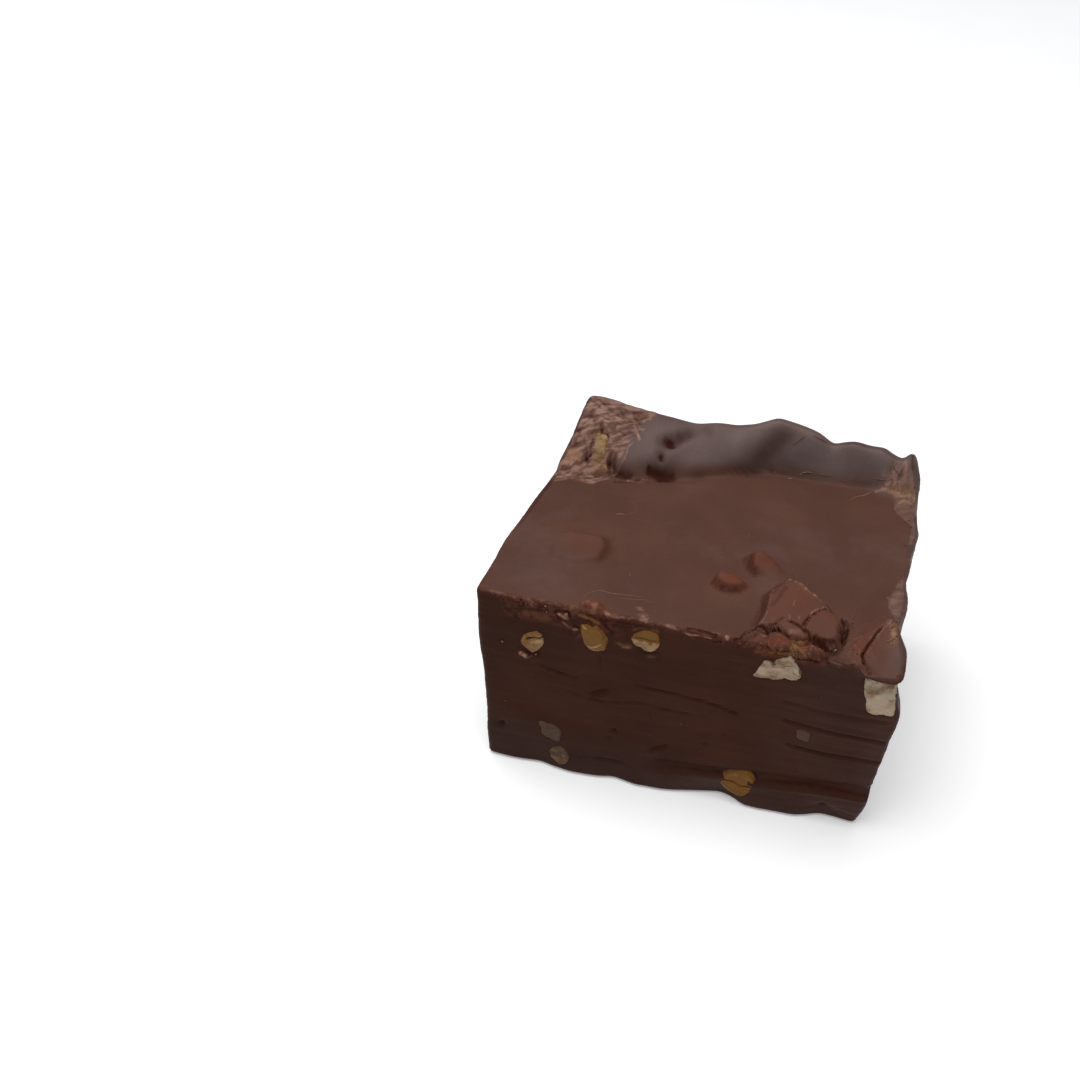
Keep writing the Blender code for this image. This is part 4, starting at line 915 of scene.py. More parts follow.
def block_points(across, back, levels):
    """The rings of the walls, the top's inner points, and for each ring its place round the outline."""
    wide, deep = len(across) - 1, len(back) - 1
    around = [(w, 0.0) for w in across[:-1]] + [(1.0, d) for d in back[:-1]]
    around += [(w, 1.0) for w in across[:0:-1]] + [(0.0, d) for d in back[:0:-1]]
    u, v = np.array(around).T
    edge = top_place(u, v, under_patches)
    crown = edge[:, 2]
    radius = TOP_EDGE_RADIUS + (BACK_EDGE_RADIUS - TOP_EDGE_RADIUS) * ease((v - 0.8) / 0.2)
    still = np.zeros(len(u))
    foot = shaped_place(u, v, still, still + FOOT_RADIUS / TOP_EDGE_RADIUS, under_patches)
    rings = [np.column_stack([foot, still])]
    for level in levels:
        z = FOOT_RADIUS + level * (crown - radius - FOOT_RADIUS)
        rings.append(np.column_stack([shaped_place(u, v, z, still, under_patches), z]))
    for turn in EDGE_TURNS:
        z = crown - radius * (1 - math.sin(turn))
        rings.append(np.column_stack([shaped_place(u, v, z, still + 1 - math.cos(turn), under_patches), z]))
    rings.append(edge)
    inner_u, inner_v = np.meshgrid(across[1:-1], back[1:-1], indexing="ij")
    inside = top_place(inner_u.ravel(), inner_v.ravel(), under_patches)
    return rings, inside, (wide, deep), v


def block_faces(ring_count, around, wide, deep):
    """Quads of the walls and the top, with the foot's one flat face first."""
    faces = [list(range(around))[::-1]]
    start = np.arange(around)
    following = (start + 1) % around
    for ring in range(ring_count - 1):
        low, high = ring * around, (ring + 1) * around
        faces += np.stack([low + start, low + following, high + following, high + start], axis=1).tolist()
    last = (ring_count - 1) * around
    grid = np.empty((wide + 1, deep + 1), int)
    inner = np.arange((wide - 1) * (deep - 1)).reshape(wide - 1, deep - 1)
    grid[1:wide, 1:deep] = ring_count * around + inner
    grid[:wide, 0] = last + np.arange(wide)
    grid[wide, :deep] = last + wide + np.arange(deep)
    grid[wide:0:-1, deep] = last + wide + deep + np.arange(wide)
    grid[0, deep:0:-1] = last + 2 * wide + deep + np.arange(deep)
    quads = np.stack([grid[:-1, :-1], grid[1:, :-1], grid[1:, 1:], grid[:-1, 1:]], axis=-1)
    return faces + quads.reshape(-1, 4).tolist()


def line_share(u, v, lines, spread):
    """How deep in a crack or groove each point lies, from 0 to 1."""
    share = np.zeros(len(u))
    for line in lines:
        distance, _ = path_distance(u, v, line.path)
        strength = min(1.0, line.depth / 0.5)
        share = np.maximum(share, strength * np.exp(-((distance / (spread * line.width)) ** 2)))
    return share


def scraped_surface(x, y, z, rim, on_wall):
    """How scraped each point is. The scrape ends just below the rim's crown and before the tray's side."""
    before_back = 1 - ease((y - side_line("back", x) + 1.6) / 1.4)
    below_crown = np.where(on_wall, SLAB_HEIGHT + rim - z, 0.0)
    return scraped_share(x, y) * (1 - ease((below_crown - 0.4) / 0.8)) * before_back


def broken_edges(x, y, z, near_front, on_wall):
    """How broken the top edges of the cuts are."""
    edge_z = z - 33.6 + 0.8 * plane_noise(x, z, 1.5, 6.0)
    broken = np.where(on_wall, ease(edge_z / 0.9) * ease((37.5 - z) / 0.8), 0.0) * ease((8.0 - y) / 2.0)
    return broken * np.where(near_front > 0.2, edge_breakage("front", x), 0.35)


def warm_share(x, y, z, crumbled, broken, front_wall):
    """How reddish the chocolate is: on the lumps, where it is broken, and in a band along the front."""
    warm = np.maximum.reduce([spot_share(x, y, spot) for spot in WARM_SPOTS])
    warm = np.maximum(warm * ease((z - 34.2) / 0.8), 0.8 * crumbled)
    warm = np.maximum(warm, 0.55 * broken)
    band = ease((z - 30.2) / 1.6) * ease((-8.0 - x) / 2.0) * ease((x + 28.5) / 2.0) * front_wall
    return np.maximum(warm, 0.60 * band * ease(0.5 + plane_noise(x, z, 0.6, 71.0)))


def front_hollows(x, z):
    """How deep in a groove or pit of the cut front each point lies, from 0 to 1."""
    hollows = line_share(x, z, FRONT_GROOVES, 1.3)
    for pit_x, pit_z, radius, depth in FRONT_PITS:
        pit = min(1.0, depth / 0.5) * np.exp(-(((x - pit_x) ** 2 + (z - pit_z) ** 2) / radius ** 2))
        hollows = np.maximum(hollows, pit)
    return hollows


def painted_sheen_share(x, y, z, rim, scrape, top, moulded):
    """The pale painted sheen of the rim, of its right end, of the block's corner and of the tray's side."""
    # On the rim, its right end and the corner the sheen is a painted reflection of the surroundings; the
    # tray's side gets a grey tone of about half strength
    crest_share = ease((y - side_line("back", x) + RIM_CREST_INSET + 1.2) / 1.4)
    raised = ease((rim - 0.6 + 0.5 * ease((x - 6.0) / 8.0)) / 2.4)
    painted_sheen = top * raised * (1 - 0.2 * crest_share) * (0.60 + 0.35 * ease((x + 3.0) / 9.0))
    painted_sheen *= (1 + 0.25 * plane_noise(x, y, 5.0, 2.2)) * (1 - 0.8 * scrape)
    painted_sheen = np.where(moulded, 0.50 + 0.20 * plane_noise(x, z, (6.0, 9.0), 2.8), painted_sheen)
    painted_sheen = np.maximum(painted_sheen, spot_share(x, y, CORNER_SHEEN))
    return np.maximum(painted_sheen, top * spot_share(x, y, RIM_END_SHEEN))


def block_attributes(points, on_wall, moulded):
    """Where the block is cut, broken, scraped, reddish, dark, painted with sheen, or marked pale or ochre."""
    x, y, z = points.T
    rim = rim_height(x, y)
    top = np.where(on_wall, 0.0, 1.0)
    near_front = np.exp(-np.abs(y - side_line("front", x)) / 0.5)
    front_wall = near_front * on_wall
    worn = 1.6 * ease((x - 29.0) / 1.2) * ease((y + 21.0) / 3.0)
    # The cut faces later take a darker colour, which is painted shade of the upright cuts
    cut = np.where(on_wall & ~moulded, ease((SLAB_HEIGHT + 0.2 + rim - worn - z) / 0.7), 0.0)
    scrape = scraped_surface(x, y, z, rim, on_wall)
    strip = strip_share(x, y) * ease((z - 33.5) / 0.8)
    crumbled = crumbled_top(x, y) * ease((z - 32.5) / 1.0)
    broken = broken_edges(x, y, z, near_front, on_wall)
    run = edge_run(y, z)
    at_edge = np.where(on_wall & (y > -20.0), 0.0, 1.0)
    on_top = ease((z - 33.2) / 0.8)
    # Painted shade darkens cracks, grooves, pits, dents, gaps and the lumps' flanks, with dark stains and
    # flakes
    rim_dark = painted(x, y, RIM_HOLLOWS + RIM_SHADE_AND_STAINS, 13.0, 0.5)
    marked = np.maximum(at_edge * edge_dark(x, run), on_top * rim_dark)
    cracks = line_share(x, y, DARK_CRACKS, 1.2) * ease((z - 32.0) / 1.0)
    dents = sum(-mound_height(x, y, d) for d in RIM_DENTS) * top
    dark = cracks + front_hollows(x, z) * front_wall + marked + 0.58 * np.clip(dents, 0, 1)
    # Pale marks: pale scrapes and crumbs, and painted highlights on lit edges
    pale = np.maximum(at_edge * edge_pale(x, run), on_top * painted(x, y, RIM_PALE_AND_HIGHLIGHTS, 3.0, 0.45))
    ochre = np.maximum(at_edge * painted(x, run, EDGE_OCHRE, 43.0), on_top * painted(x, y, RIM_OCHRE, 53.0))
    strokes = scrape_frame(x, y)
    flakes = plane_noise(*strokes, (1.8, 0.6), 61.0) + 0.7 * plane_noise(*strokes, (0.7, 0.35), 67.0)
    dark = np.clip(np.clip(dark, 0.0, 1.0) + 0.52 * scrape * ease((flakes - 0.20) / 0.5), 0.0, 1.0)
    # Painted sheen: a reflection of the surroundings painted on the rim, its right end and the corner
    painted_sheen = painted_sheen_share(x, y, z, rim, scrape, top, moulded)
    return {
        "cut": cut,
        "warm": warm_share(x, y, z, crumbled, broken, front_wall),
        "scrape": np.maximum(scrape, 0.32 * strip),
        "dark": dark,
        # The low share paints a reflection of the white floor on the walls' lower part and right part
        "low": np.where(on_wall, np.maximum(ease((11.0 - z) / 9.0), 0.6 * ease((x - 10.0) / 12.0)), 0.0),
        "painted_sheen": np.clip(painted_sheen + 0.25 * strip, 0.0, 1.0),
        "crumbled": np.maximum(crumbled, broken),
        "pale": np.maximum(pale, 0.55 * scrape * ease((-0.28 - flakes) / 0.4)),
        "ochre": ochre,
    }


def make_block():
    """The fudge itself: one closed surface with every cut, crack, groove and lump in it."""
    across = graded_shares(FRONT_LEFT[0], FRONT_RIGHT[0], SPACING_ACROSS)
    back = graded_shares(FRONT_RIGHT[1], BACK_RIGHT[1], SPACING_BACK)
    levels = graded_shares(FOOT_RADIUS, SLAB_HEIGHT, SPACING_UP)
    rings, inside, (wide, deep), back_share = block_points(across, back, levels)
    around = len(rings[0])
    faces = block_faces(len(rings), around, wide, deep)
    points = np.concatenate(rings + [inside])
    on_wall = np.arange(len(points)) < len(rings) * around
    moulded = np.zeros(len(points), bool)
    moulded[: len(rings) * around] = np.tile(back_share > 0.999, len(rings))
    made = new_object("fudge_surface", points, faces, block_attributes(points, on_wall, moulded))
    wall_faces = 1 + (len(rings) - 2 - len(EDGE_TURNS)) * around
    made.data.polygons.foreach_set("material_index", (np.arange(len(faces)) < wall_faces).astype(np.int32))
    return made


def shares_at(x, y):
    """Shares of the width and the depth at plain plan places."""
    across = np.full(len(x), 0.5)
    for _ in range(SHARE_STEPS):
        depth = BACK_LEFT[1] + across * (BACK_RIGHT[1] - BACK_LEFT[1]) - FRONT_LEFT[1]
        back = (y - FRONT_LEFT[1]) / depth
        left = FRONT_LEFT[0] + back * (BACK_LEFT[0] - FRONT_LEFT[0])
        right = FRONT_RIGHT[0] + back * (BACK_RIGHT[0] - FRONT_RIGHT[0])
        across = (x - left) / (right - left)
    return across, back


def patch_front(patch, columns, sunk):
    """A patch's rows up the front and round its edge: points, shares of the width, and count of wall rows."""
    across, back = shares_at(columns, np.full(len(columns), FRONT_LEFT[1]))
    inside = np.clip(across, 0.0, 1.0)
    crown = top_place(inside, back, sunk)[:, 2]
    wall_rows = round((SLAB_HEIGHT - TOP_EDGE_RADIUS - patch.z_low) / patch.spacing)
    levels = patch.z_low + np.outer(np.arange(wall_rows) / wall_rows, crown - TOP_EDGE_RADIUS - patch.z_low)
    turns = np.linspace(0, math.pi / 2, PATCH_EDGE_ROWS + 1)[:-1]
    turning = crown - TOP_EDGE_RADIUS * (1 - np.sin(turns))[:, None]
    z = np.concatenate([levels, turning]).ravel()
    inset = np.repeat(np.concatenate([np.zeros(wall_rows), 1 - np.cos(turns)]), len(columns))
    rows = wall_rows + PATCH_EDGE_ROWS
    place = shaped_place(np.tile(inside, rows), np.tile(back, rows), z, inset, sunk)
    return np.column_stack([place, z]), np.tile(across, rows), wall_rows


def make_patch(patch):
    """A fine piece of the block's own surface: up the front, round its top edge and back over the top."""
    columns = np.linspace(patch.x_low, patch.x_high, round((patch.x_high - patch.x_low) / patch.spacing) + 1)
    count = len(columns)
    sunk = patch_hem(patch)
    front, front_reach, wall_rows = np.empty((0, 3)), np.empty(0), 0
    if patch.y_low < FRONT_LEFT[1]:
        front, front_reach, wall_rows = patch_front(patch, columns, sunk)
    start = max(patch.y_low, FRONT_LEFT[1])
    depths = np.linspace(start, patch.y_high, round((patch.y_high - start) / patch.spacing) + 1)
    across, back = shares_at(np.tile(columns, len(depths)), np.repeat(depths, count))
    points = np.concatenate([front, top_place(np.clip(across, 0.0, 1.0), np.maximum(back, 0.0), sunk)])
    reach = np.concatenate([front_reach, across])
    low = (np.arange(len(points) // count - 1)[:, None] * count + np.arange(count - 1)).ravel()
    quads = np.stack([low, low + 1, low + 1 + count, low + count], axis=1)
    kept = (reach[quads].max(axis=1) > 0.0) & (reach[quads].min(axis=1) < 1.0)
    used, quads = np.unique(quads[kept], return_inverse=True)
    points, on_wall = points[used], used < len(front)
    attributes = block_attributes(points, on_wall, np.zeros(len(points), bool))
    made = new_object(patch.name, points, quads.reshape(-1, 4).tolist(), attributes)
    made.data.polygons.foreach_set("material_index", (low[kept] < wall_rows * count).astype(np.int32))
    return made


# Marshmallow and nuts in the cuts. A piece's outline is (along the face, height), in the order it runs.
Inclusion = namedtuple("Inclusion", "node kind face outline depth proud seed smear light")
FRONT_INCLUSIONS = (
    Inclusion("marshmallow_front", "marshmallow", "front",
              ((10.4, 28.5), (10.6, 29.4), (11.2, 30.4), (11.5, 31.6), (12.0, 32.3), (12.9, 32.2),
               (13.4, 32.0), (13.7, 33.0), (14.4, 33.3), (15.2, 34.0), (16.0, 34.2), (16.6, 33.1),
               (17.4, 32.0), (18.1, 31.5), (18.3, 30.3), (17.9, 29.6), (15.4, 29.1),
               (12.6, 28.5)), 3.2, 0.32, 3, 0.32, 0.45),
    Inclusion("nut_front_1", "nut", "front",
              ((-23.6, 28.3), (-23.0, 28.8), (-21.7, 29.3), (-21.1, 28.9), (-20.6, 27.6), (-20.6, 26.8),
               (-21.2, 25.6), (-21.7, 24.8), (-22.9, 24.2), (-23.4, 24.9), (-24.4, 25.6), (-24.7, 26.3),
               (-24.4, 27.2)), 1.6, 0.32, 11, 0.0, 0.40),
    Inclusion("nut_front_2", "nut", "front",
              ((-15.3, 32.2), (-14.8, 32.7), (-14.1, 32.4), (-13.4, 32.6), (-12.7, 32.8), (-12.1, 32.2),
               (-11.3, 31.2), (-10.8, 30.3), (-10.9, 28.9), (-11.1, 27.8), (-12.0, 27.4), (-13.1, 27.1),
               (-13.9, 27.7), (-14.5, 28.2), (-14.8, 29.1), (-15.2, 30.6)), 2.0, 0.42, 12, 0.0, 0.0),
    Inclusion("nut_front_3", "nut", "front",
              ((-7.8, 31.5), (-7.1, 32.6), (-6.0, 33.3), (-4.5, 33.6), (-3.4, 33.3), (-3.0, 32.1),
               (-3.1, 30.6), (-3.8, 29.5), (-4.5, 29.1), (-5.3, 29.3), (-6.0, 29.9),
               (-7.1, 29.9)), 1.8, 0.30, 13, 0.0, 0.0),
    Inclusion("nut_front_4", "nut", "front",
              ((-21.9, 10.2), (-21.2, 10.6), (-20.2, 10.0), (-17.6, 6.8), (-17.4, 5.9), (-18.3, 5.6),
               (-19.4, 6.4), (-21.0, 8.6)), 0.9, 0.08, 14, 0.80, 0.10),
    Inclusion("nut_front_5", "nut", "front",
              ((-19.7, 3.9), (-18.5, 5.4), (-17.2, 5.5), (-16.1, 4.3), (-16.3, 1.8), (-17.4, 1.2),
               (-18.5, 2.0)), 1.2, 0.20, 15, 0.66, 0.35),
    Inclusion("nut_front_6", "nut", "front",
              ((8.3, 3.8), (9.0, 6.5), (10.5, 7.4), (12.9, 7.6), (13.8, 6.4), (13.6, 4.0), (12.6, 2.4),
               (10.0, 2.7)), 2.0, 0.55, 16, 0.18, 0.05),
    Inclusion("nut_front_7", "nut", "front",
              ((18.3, 19.4), (19.2, 19.6), (20.8, 17.9), (20.6, 16.9), (19.6, 17.0),
               (18.5, 18.6)), 0.8, 0.06, 17, 0.85, 0.10),
)

# Light parts and creases of the pieces in the front, as strokes through (along the face, height)
LIGHT_PARTS = {
    "marshmallow_front": (
        Stroke(((11.6, 30.0), (13.2, 30.4), (15.0, 30.9), (16.6, 31.0)), 1.9, 0.95),
        Stroke(((14.6, 33.1), (15.5, 33.7), (16.0, 33.2)), 0.9, 0.85),
        Stroke(((12.0, 31.7), (12.9, 31.8)), 0.8, 0.75),
        Stroke(((10.9, 28.9), (13.0, 29.0), (15.6, 29.5), (17.0, 29.8)), 0.8, 0.45),
    ),
    # The first stroke of nut_front_1 is paler flesh with a painted highlight on its right lobe
    "nut_front_1": (
        Stroke(((-22.7, 26.9), (-21.7, 27.1), (-21.1, 27.1)), 1.1, 0.85),
        Stroke(((-24.2, 26.7), (-23.4, 26.4)), 1.4, 0.35),
    ),
    "nut_front_2": (
        Stroke(((-14.1, 28.3), (-13.3, 28.3), (-12.5, 28.9), (-11.9, 29.2)), 0.55, 0.85),
        Stroke(((-13.6, 27.6), (-12.3, 27.6), (-11.4, 28.0)), 1.0, 0.55),
        Stroke(((-14.8, 32.2), (-14.3, 32.0)), 0.5, 0.60),
    ),
    "nut_front_3": (
        Stroke(((-7.3, 30.8), (-6.4, 30.8), (-5.3, 30.7), (-4.3, 30.2), (-3.7, 31.0)), 1.5, 0.85),
        Stroke(((-6.1, 30.3), (-5.1, 29.8), (-4.2, 29.7)), 0.8, 0.95),
    ),
    "nut_front_5": (Stroke(((-17.7, 4.6), (-17.0, 3.6)), 1.1, 0.6),),
    "nut_front_6": (Stroke(((9.6, 6.2), (11.0, 6.6), (12.6, 6.4)), 0.9, 0.35),),
}
CREASES = {
    "marshmallow_front": (
        Stroke(((13.1, 32.4), (13.6, 31.7)), 0.8, 0.80),
        Stroke(((17.2, 31.6), (17.9, 30.6), (17.8, 29.9)), 1.1, 0.85),
        Stroke(((13.7, 32.9), (14.6, 33.2), (15.6, 33.9), (16.4, 33.2), (17.2, 32.0)), 0.45, 0.60),
        Stroke(((10.6, 28.7), (11.0, 29.5), (11.4, 30.7), (12.0, 32.1)), 0.45, 0.50),
        Stroke(((14.3, 32.4), (15.0, 32.0), (16.3, 32.2)), 0.30, 0.50),
        Stroke(((12.4, 29.7), (14.2, 29.7)), 0.25, 0.35),
        Stroke(((12.3, 30.9), (13.8, 31.2), (15.0, 31.6)), 0.25, 0.35),
        Stroke(((16.4, 30.9), (17.4, 30.4)), 0.5, 0.45),
    ),
    "nut_front_1": (Stroke(((-23.4, 27.3), (-22.0, 27.8), (-21.0, 28.1)), 0.40, 0.9),),
    "nut_front_2": (
        Stroke(((-14.8, 32.5), (-14.1, 32.8), (-13.4, 32.4)), 0.45, 0.9),
        Stroke(((-11.2, 31.4), (-11.6, 30.4)), 0.30, 0.4),
    ),
    "nut_front_3": (Stroke(((-7.6, 31.7), (-6.4, 31.7), (-5.0, 31.8), (-3.3, 31.9)), 0.40, 0.45),),
    "nut_front_6": (Stroke(((8.8, 5.0), (10.2, 5.2), (11.8, 4.6), (13.2, 4.9)), 0.35, 0.6),),
}

# The two lumps that aren't cut level with a face
CORNER_PIECE_PLACE = (28.9, -20.9, 29.3)
CORNER_PIECE_SIZE = (4.4, 5.4, 7.6)
RIM_NUT_PLACE = (-21.0, 13.2)
RIM_NUT_SIZE = (2.3, 3.1, 0.9)
RIM_NUT_SUNK = 0.25

# Pieces of the hidden sides: node, kind, face, place along it and up, width, height, turn and seed
SIDE_DEPTH, SIDE_PROUD, SIDE_SMEAR = 1.8, 0.30, 0.25
SIDE_CORNERS = 10
SIDE_INCLUSIONS = (
    ("marshmallow_left", "marshmallow", "left", -6.0, 28.6, 8.2, 6.4, 14, 21),
    ("nut_left_1", "nut", "left", 12.5, 26.0, 5.4, 3.0, -20, 22),
    ("nut_left_2", "nut", "left", -15.5, 17.5, 4.4, 3.2, 30, 23),
    ("nut_left_3", "nut", "left", 3.5, 14.5, 3.6, 2.2, -35, 24),
    ("nut_left_4", "nut", "left", 15.5, 7.0, 4.8, 3.6, 10, 25),
    ("nut_left_5", "nut", "left", -9.5, 5.2, 5.6, 2.4, -12, 26),
    ("marshmallow_right", "marshmallow", "right", 7.5, 29.4, 7.4, 5.6, -8, 31),
    ("nut_right_1", "nut", "right", -8.5, 24.0, 4.6, 3.4, 24, 32),
    ("nut_right_2", "nut", "right", 16.0, 19.5, 5.2, 2.4, -28, 33),
    ("nut_right_3", "nut", "right", 2.0, 12.8, 4.0, 3.0, 40, 34),
    ("nut_right_4", "nut", "right", -14.0, 8.0, 5.0, 3.2, -14, 35),
    ("nut_right_5", "nut", "right", 14.5, 5.0, 3.6, 2.6, 15, 36),
)


def side_outline(along, height, wide, tall, turn, seed, squarish):
    """An uneven outline about its middle: squarish for marshmallow, lobed and pointed for a nut."""
    rng = np.random.default_rng(seed)
    corners = []
    for step in range(SIDE_CORNERS):
        angle = 2 * math.pi * step / SIDE_CORNERS
        reach = 1 + (0.06 if squarish else 0.13) * rng.uniform(-1, 1)
        if squarish:
            reach *= 1 / max(abs(math.cos(angle)), abs(math.sin(angle)), 0.86)
        u = wide / 2 * reach * math.cos(angle)
        v = tall / 2 * reach * math.sin(angle)
        tilt = math.radians(turn)
        corner_along = along + u * math.cos(tilt) - v * math.sin(tilt)
        corner_height = height + u * math.sin(tilt) + v * math.cos(tilt)
        corners.append((corner_along, corner_height))
    return tuple(corners)


def outline_reach(outline, middle, angles):
    """The distance from the middle to the outline in each direction, with its corners a little rounded."""
    corners = np.array(outline) - middle
    turns = np.arctan2(corners[:, 1], corners[:, 0])
    order = np.argsort(turns)
    turns, reach = turns[order], np.hypot(*corners[order].T)
    turns = np.concatenate([turns - 2 * math.pi, turns, turns + 2 * math.pi])
    reach = np.tile(reach, 3)
    near = [np.interp(angles + s, turns, reach) for s in (-0.14, -0.07, 0.0, 0.07, 0.14)]
    return sum(near) / 5


def wall_points(face, along, z):
    """Points of the finished wall at places along it and heights."""
    push = PUSHES[face](along, z)
    crossing = side_line(face, along) + OUTWARD[face] * push
    if face == "front":
        return np.stack([along, crossing + roughness(along, crossing, z, Y_SHIFT), z], axis=1)
    return np.stack([crossing + roughness(crossing, along, z, X_SHIFT), along, z], axis=1)


def plain_wall(face, outline):
    """A plane fitted to the finished wall at a piece's outline: its slopes along and up, and its start."""
    corners = np.array(outline)
    points = wall_points(face, corners[:, 0], corners[:, 1])
    crossing = points[:, 1] if face == "front" else points[:, 0]
    columns = np.column_stack([corners, np.ones(len(corners))])
    fit, *_ = np.linalg.lstsq(columns, crossing, rcond=None)
    return fit


def inclusion_relief(item, along, z):
    """The uneven cut side of a piece, with its creases."""
    creases = painted(along, z, CREASES.get(item.node, ()), item.seed)
    if item.kind == "nut":
        relief = 0.14 * plane_noise(along, z, 1.9, item.seed) + 0.06 * plane_noise(along, z, 0.5, item.seed)
        return relief - 0.35 * creases
    relief = 0.20 * plane_noise(along, z, (1.9, 0.6), item.seed)
    relief += 0.10 * plane_noise(along, z, 0.5, item.seed)
    relief += 0.06 * plane_noise(along, z, 0.25, item.seed + 8)
    return relief - 0.25 * creases


def ringed_faces(ring_count, turns):
    """Faces from a middle point through rings of points to a tip."""
    following = (np.arange(turns) + 1) % turns
    faces = [(0, 1 + i, 1 + following[i]) for i in range(turns)]
    for ring in range(ring_count - 1):
        low, high = 1 + ring * turns, 1 + (ring + 1) * turns
        faces += [(low + i, high + i, high + following[i], low + following[i]) for i in range(turns)]
    low = 1 + (ring_count - 1) * turns
    return faces + [(low + i, low + turns, low + following[i]) for i in range(turns)]


def inclusion_attributes(item, u, v, share):
    """How far chocolate smears over a piece, how light it is, and where its rim lies."""
    smear = item.smear + 0.30 * plane_noise(u, v, (1.9, 0.7), item.seed)
    smear = np.clip(smear + 0.5 * ease((share - 0.85) / 0.3), 0.0, 1.0)
    smear = np.maximum(smear, 0.9 * painted(u, v, CREASES.get(item.node, ()), item.seed))
    light = item.light + 0.25 * plane_noise(u, v, 1.4, item.seed + 9.0)
    light = np.maximum(light, painted(u, v, LIGHT_PARTS.get(item.node, ()), item.seed + 3.0))
    return {"smear": smear, "light": np.clip(light, 0.0, 1.0), "rim": ease((share - 0.8) / 0.35)}


def inclusion_object(item):
    """A cut piece of nut or marshmallow: its cut side flush with the face, and its body going inside."""
    turns, rings, walls = 150, 34, 8
    angles = np.linspace(0, 2 * math.pi, turns, endpoint=False)
    middle = np.mean(item.outline, axis=0)
    reach = outline_reach(item.outline, middle, angles)
    ragged = 0.035 if item.kind == "nut" else 0.08
    circle = np.stack([np.cos(angles) * 2, np.sin(angles) * 2, np.full(turns, item.seed * 1.7)], axis=1)
    reach = reach * (1 + ragged * smooth_noise(circle, 0.5, 0.0, FINE_LATTICE))
    reach = reach * (1 + 0.5 * ragged * smooth_noise(circle, 0.16, 2.0, FINE_LATTICE))
    fit = plain_wall(item.face, item.outline)
    points, share, places = [], [], []
    steps = [(t, 0.0) for t in np.linspace(0, 1, rings)[1:]]
    steps += [(1 - 0.25 * (t / walls) ** 2, t / walls) for t in range(1, walls + 1)]
    for radius, inside in [(0.0, 0.0)] + steps:
        along = middle[0] + reach * radius * np.cos(angles)
        z = middle[1] + reach * radius * np.sin(angles)
        edge = 0.55 * ease((radius - 0.72) / 0.28) ** 1.5 if inside == 0 else 0.55 + inside * item.depth
        out = item.proud + inclusion_relief(item, along, z) * (1 - inside) - edge
        crossing = fit[0] * along + fit[1] * z + fit[2] + OUTWARD[item.face] * out
        kept = turns if radius else 1
        columns = (along, crossing, z) if item.face == "front" else (crossing, along, z)
        points.append(np.column_stack(columns)[:kept])
        share.append(np.full(kept, radius + inside))
        places.append(np.column_stack([along, z])[:kept])
    points.append(points[-1].mean(axis=0, keepdims=True))
    share.append(np.array([2.0]))
    places.append(places[-1][:1])
    faces = ringed_faces(len(steps), turns)
    if item.face == "left":
        faces = [face[::-1] for face in faces]
    attributes = inclusion_attributes(item, *np.concatenate(places).T, np.concatenate(share))
    return new_object("detailed_" + item.node, np.concatenate(points), faces, attributes)


def lump_object(name, middle, size, seed, square, relief, smear, light, turn=0.0, lean=0.0, laid=False):
    """A rounded lump with rough sides, leaning towards -X at its top, or laid along the slope of the top."""
    bm = bmesh.new()
    bmesh.ops.create_icosphere(bm, subdivisions=6, radius=1.0)
    bm.verts.ensure_lookup_table()
    directions = np.array([v.co[:] for v in bm.verts])
    faces = [[v.index for v in f.verts] for f in bm.faces]
    bm.free()
    powered = np.sum(np.abs(directions) ** square, axis=1) ** (-1.0 / square)
    reach = powered * (1 + 0.07 * smooth_noise(directions, 0.6, seed * 1.3, FINE_LATTICE))
    shape = directions * reach[:, None] * (np.array(size) / 2)
    rough = smooth_noise(shape, 1.2, seed, FINE_LATTICE)
    rough += 0.5 * smooth_noise(shape, 0.5, seed + 3, FINE_LATTICE)
    rough += 0.3 * smooth_noise(shape, 0.25, seed + 5, FINE_LATTICE)
    shape = shape + directions * relief * rough[:, None]
    c, s = math.cos(math.radians(turn)), math.sin(math.radians(turn))
    shape = shape @ np.array([[c, s, 0], [-s, c, 0], [-lean, 0, 1]])
    cover = smear + 0.35 * smooth_noise(shape, 1.4, seed + 11, FINE_LATTICE)
    bright = light + 0.6 * smooth_noise(shape, 1.6, seed + 17, FINE_LATTICE)
    attributes = {"smear": np.clip(cover, 0, 1), "light": np.clip(bright, 0, 1), "rim": np.zeros(len(shape))}
    points = shape + np.array(middle)
    if laid:
        points[:, 2] += surface_height(points[:, 0], points[:, 1]) - surface_height(middle[0], middle[1])
    return new_object(name, points, faces, attributes)


def surface_height(x, y):
    """The top's height at places."""
    return top_height(np.atleast_1d(np.asarray(x, float)), np.atleast_1d(np.asarray(y, float)))


class Heap:
    """Small pieces gathered into one mesh, with a paleness for each."""

    def __init__(self):
        self.verts, self.faces, self.pale, self.count = [], [], [], 0

    def add(self, verts, faces, pale):
        self.verts.append(np.asarray(verts, float))
        self.faces += [[v + self.count for v in face] for face in faces]
        self.pale.append(np.full(len(verts), pale))
        self.count += len(verts)

    def to_object(self, name):
        return new_object(name, np.concatenate(self.verts), self.faces, {"pale": np.concatenate(self.pale)})


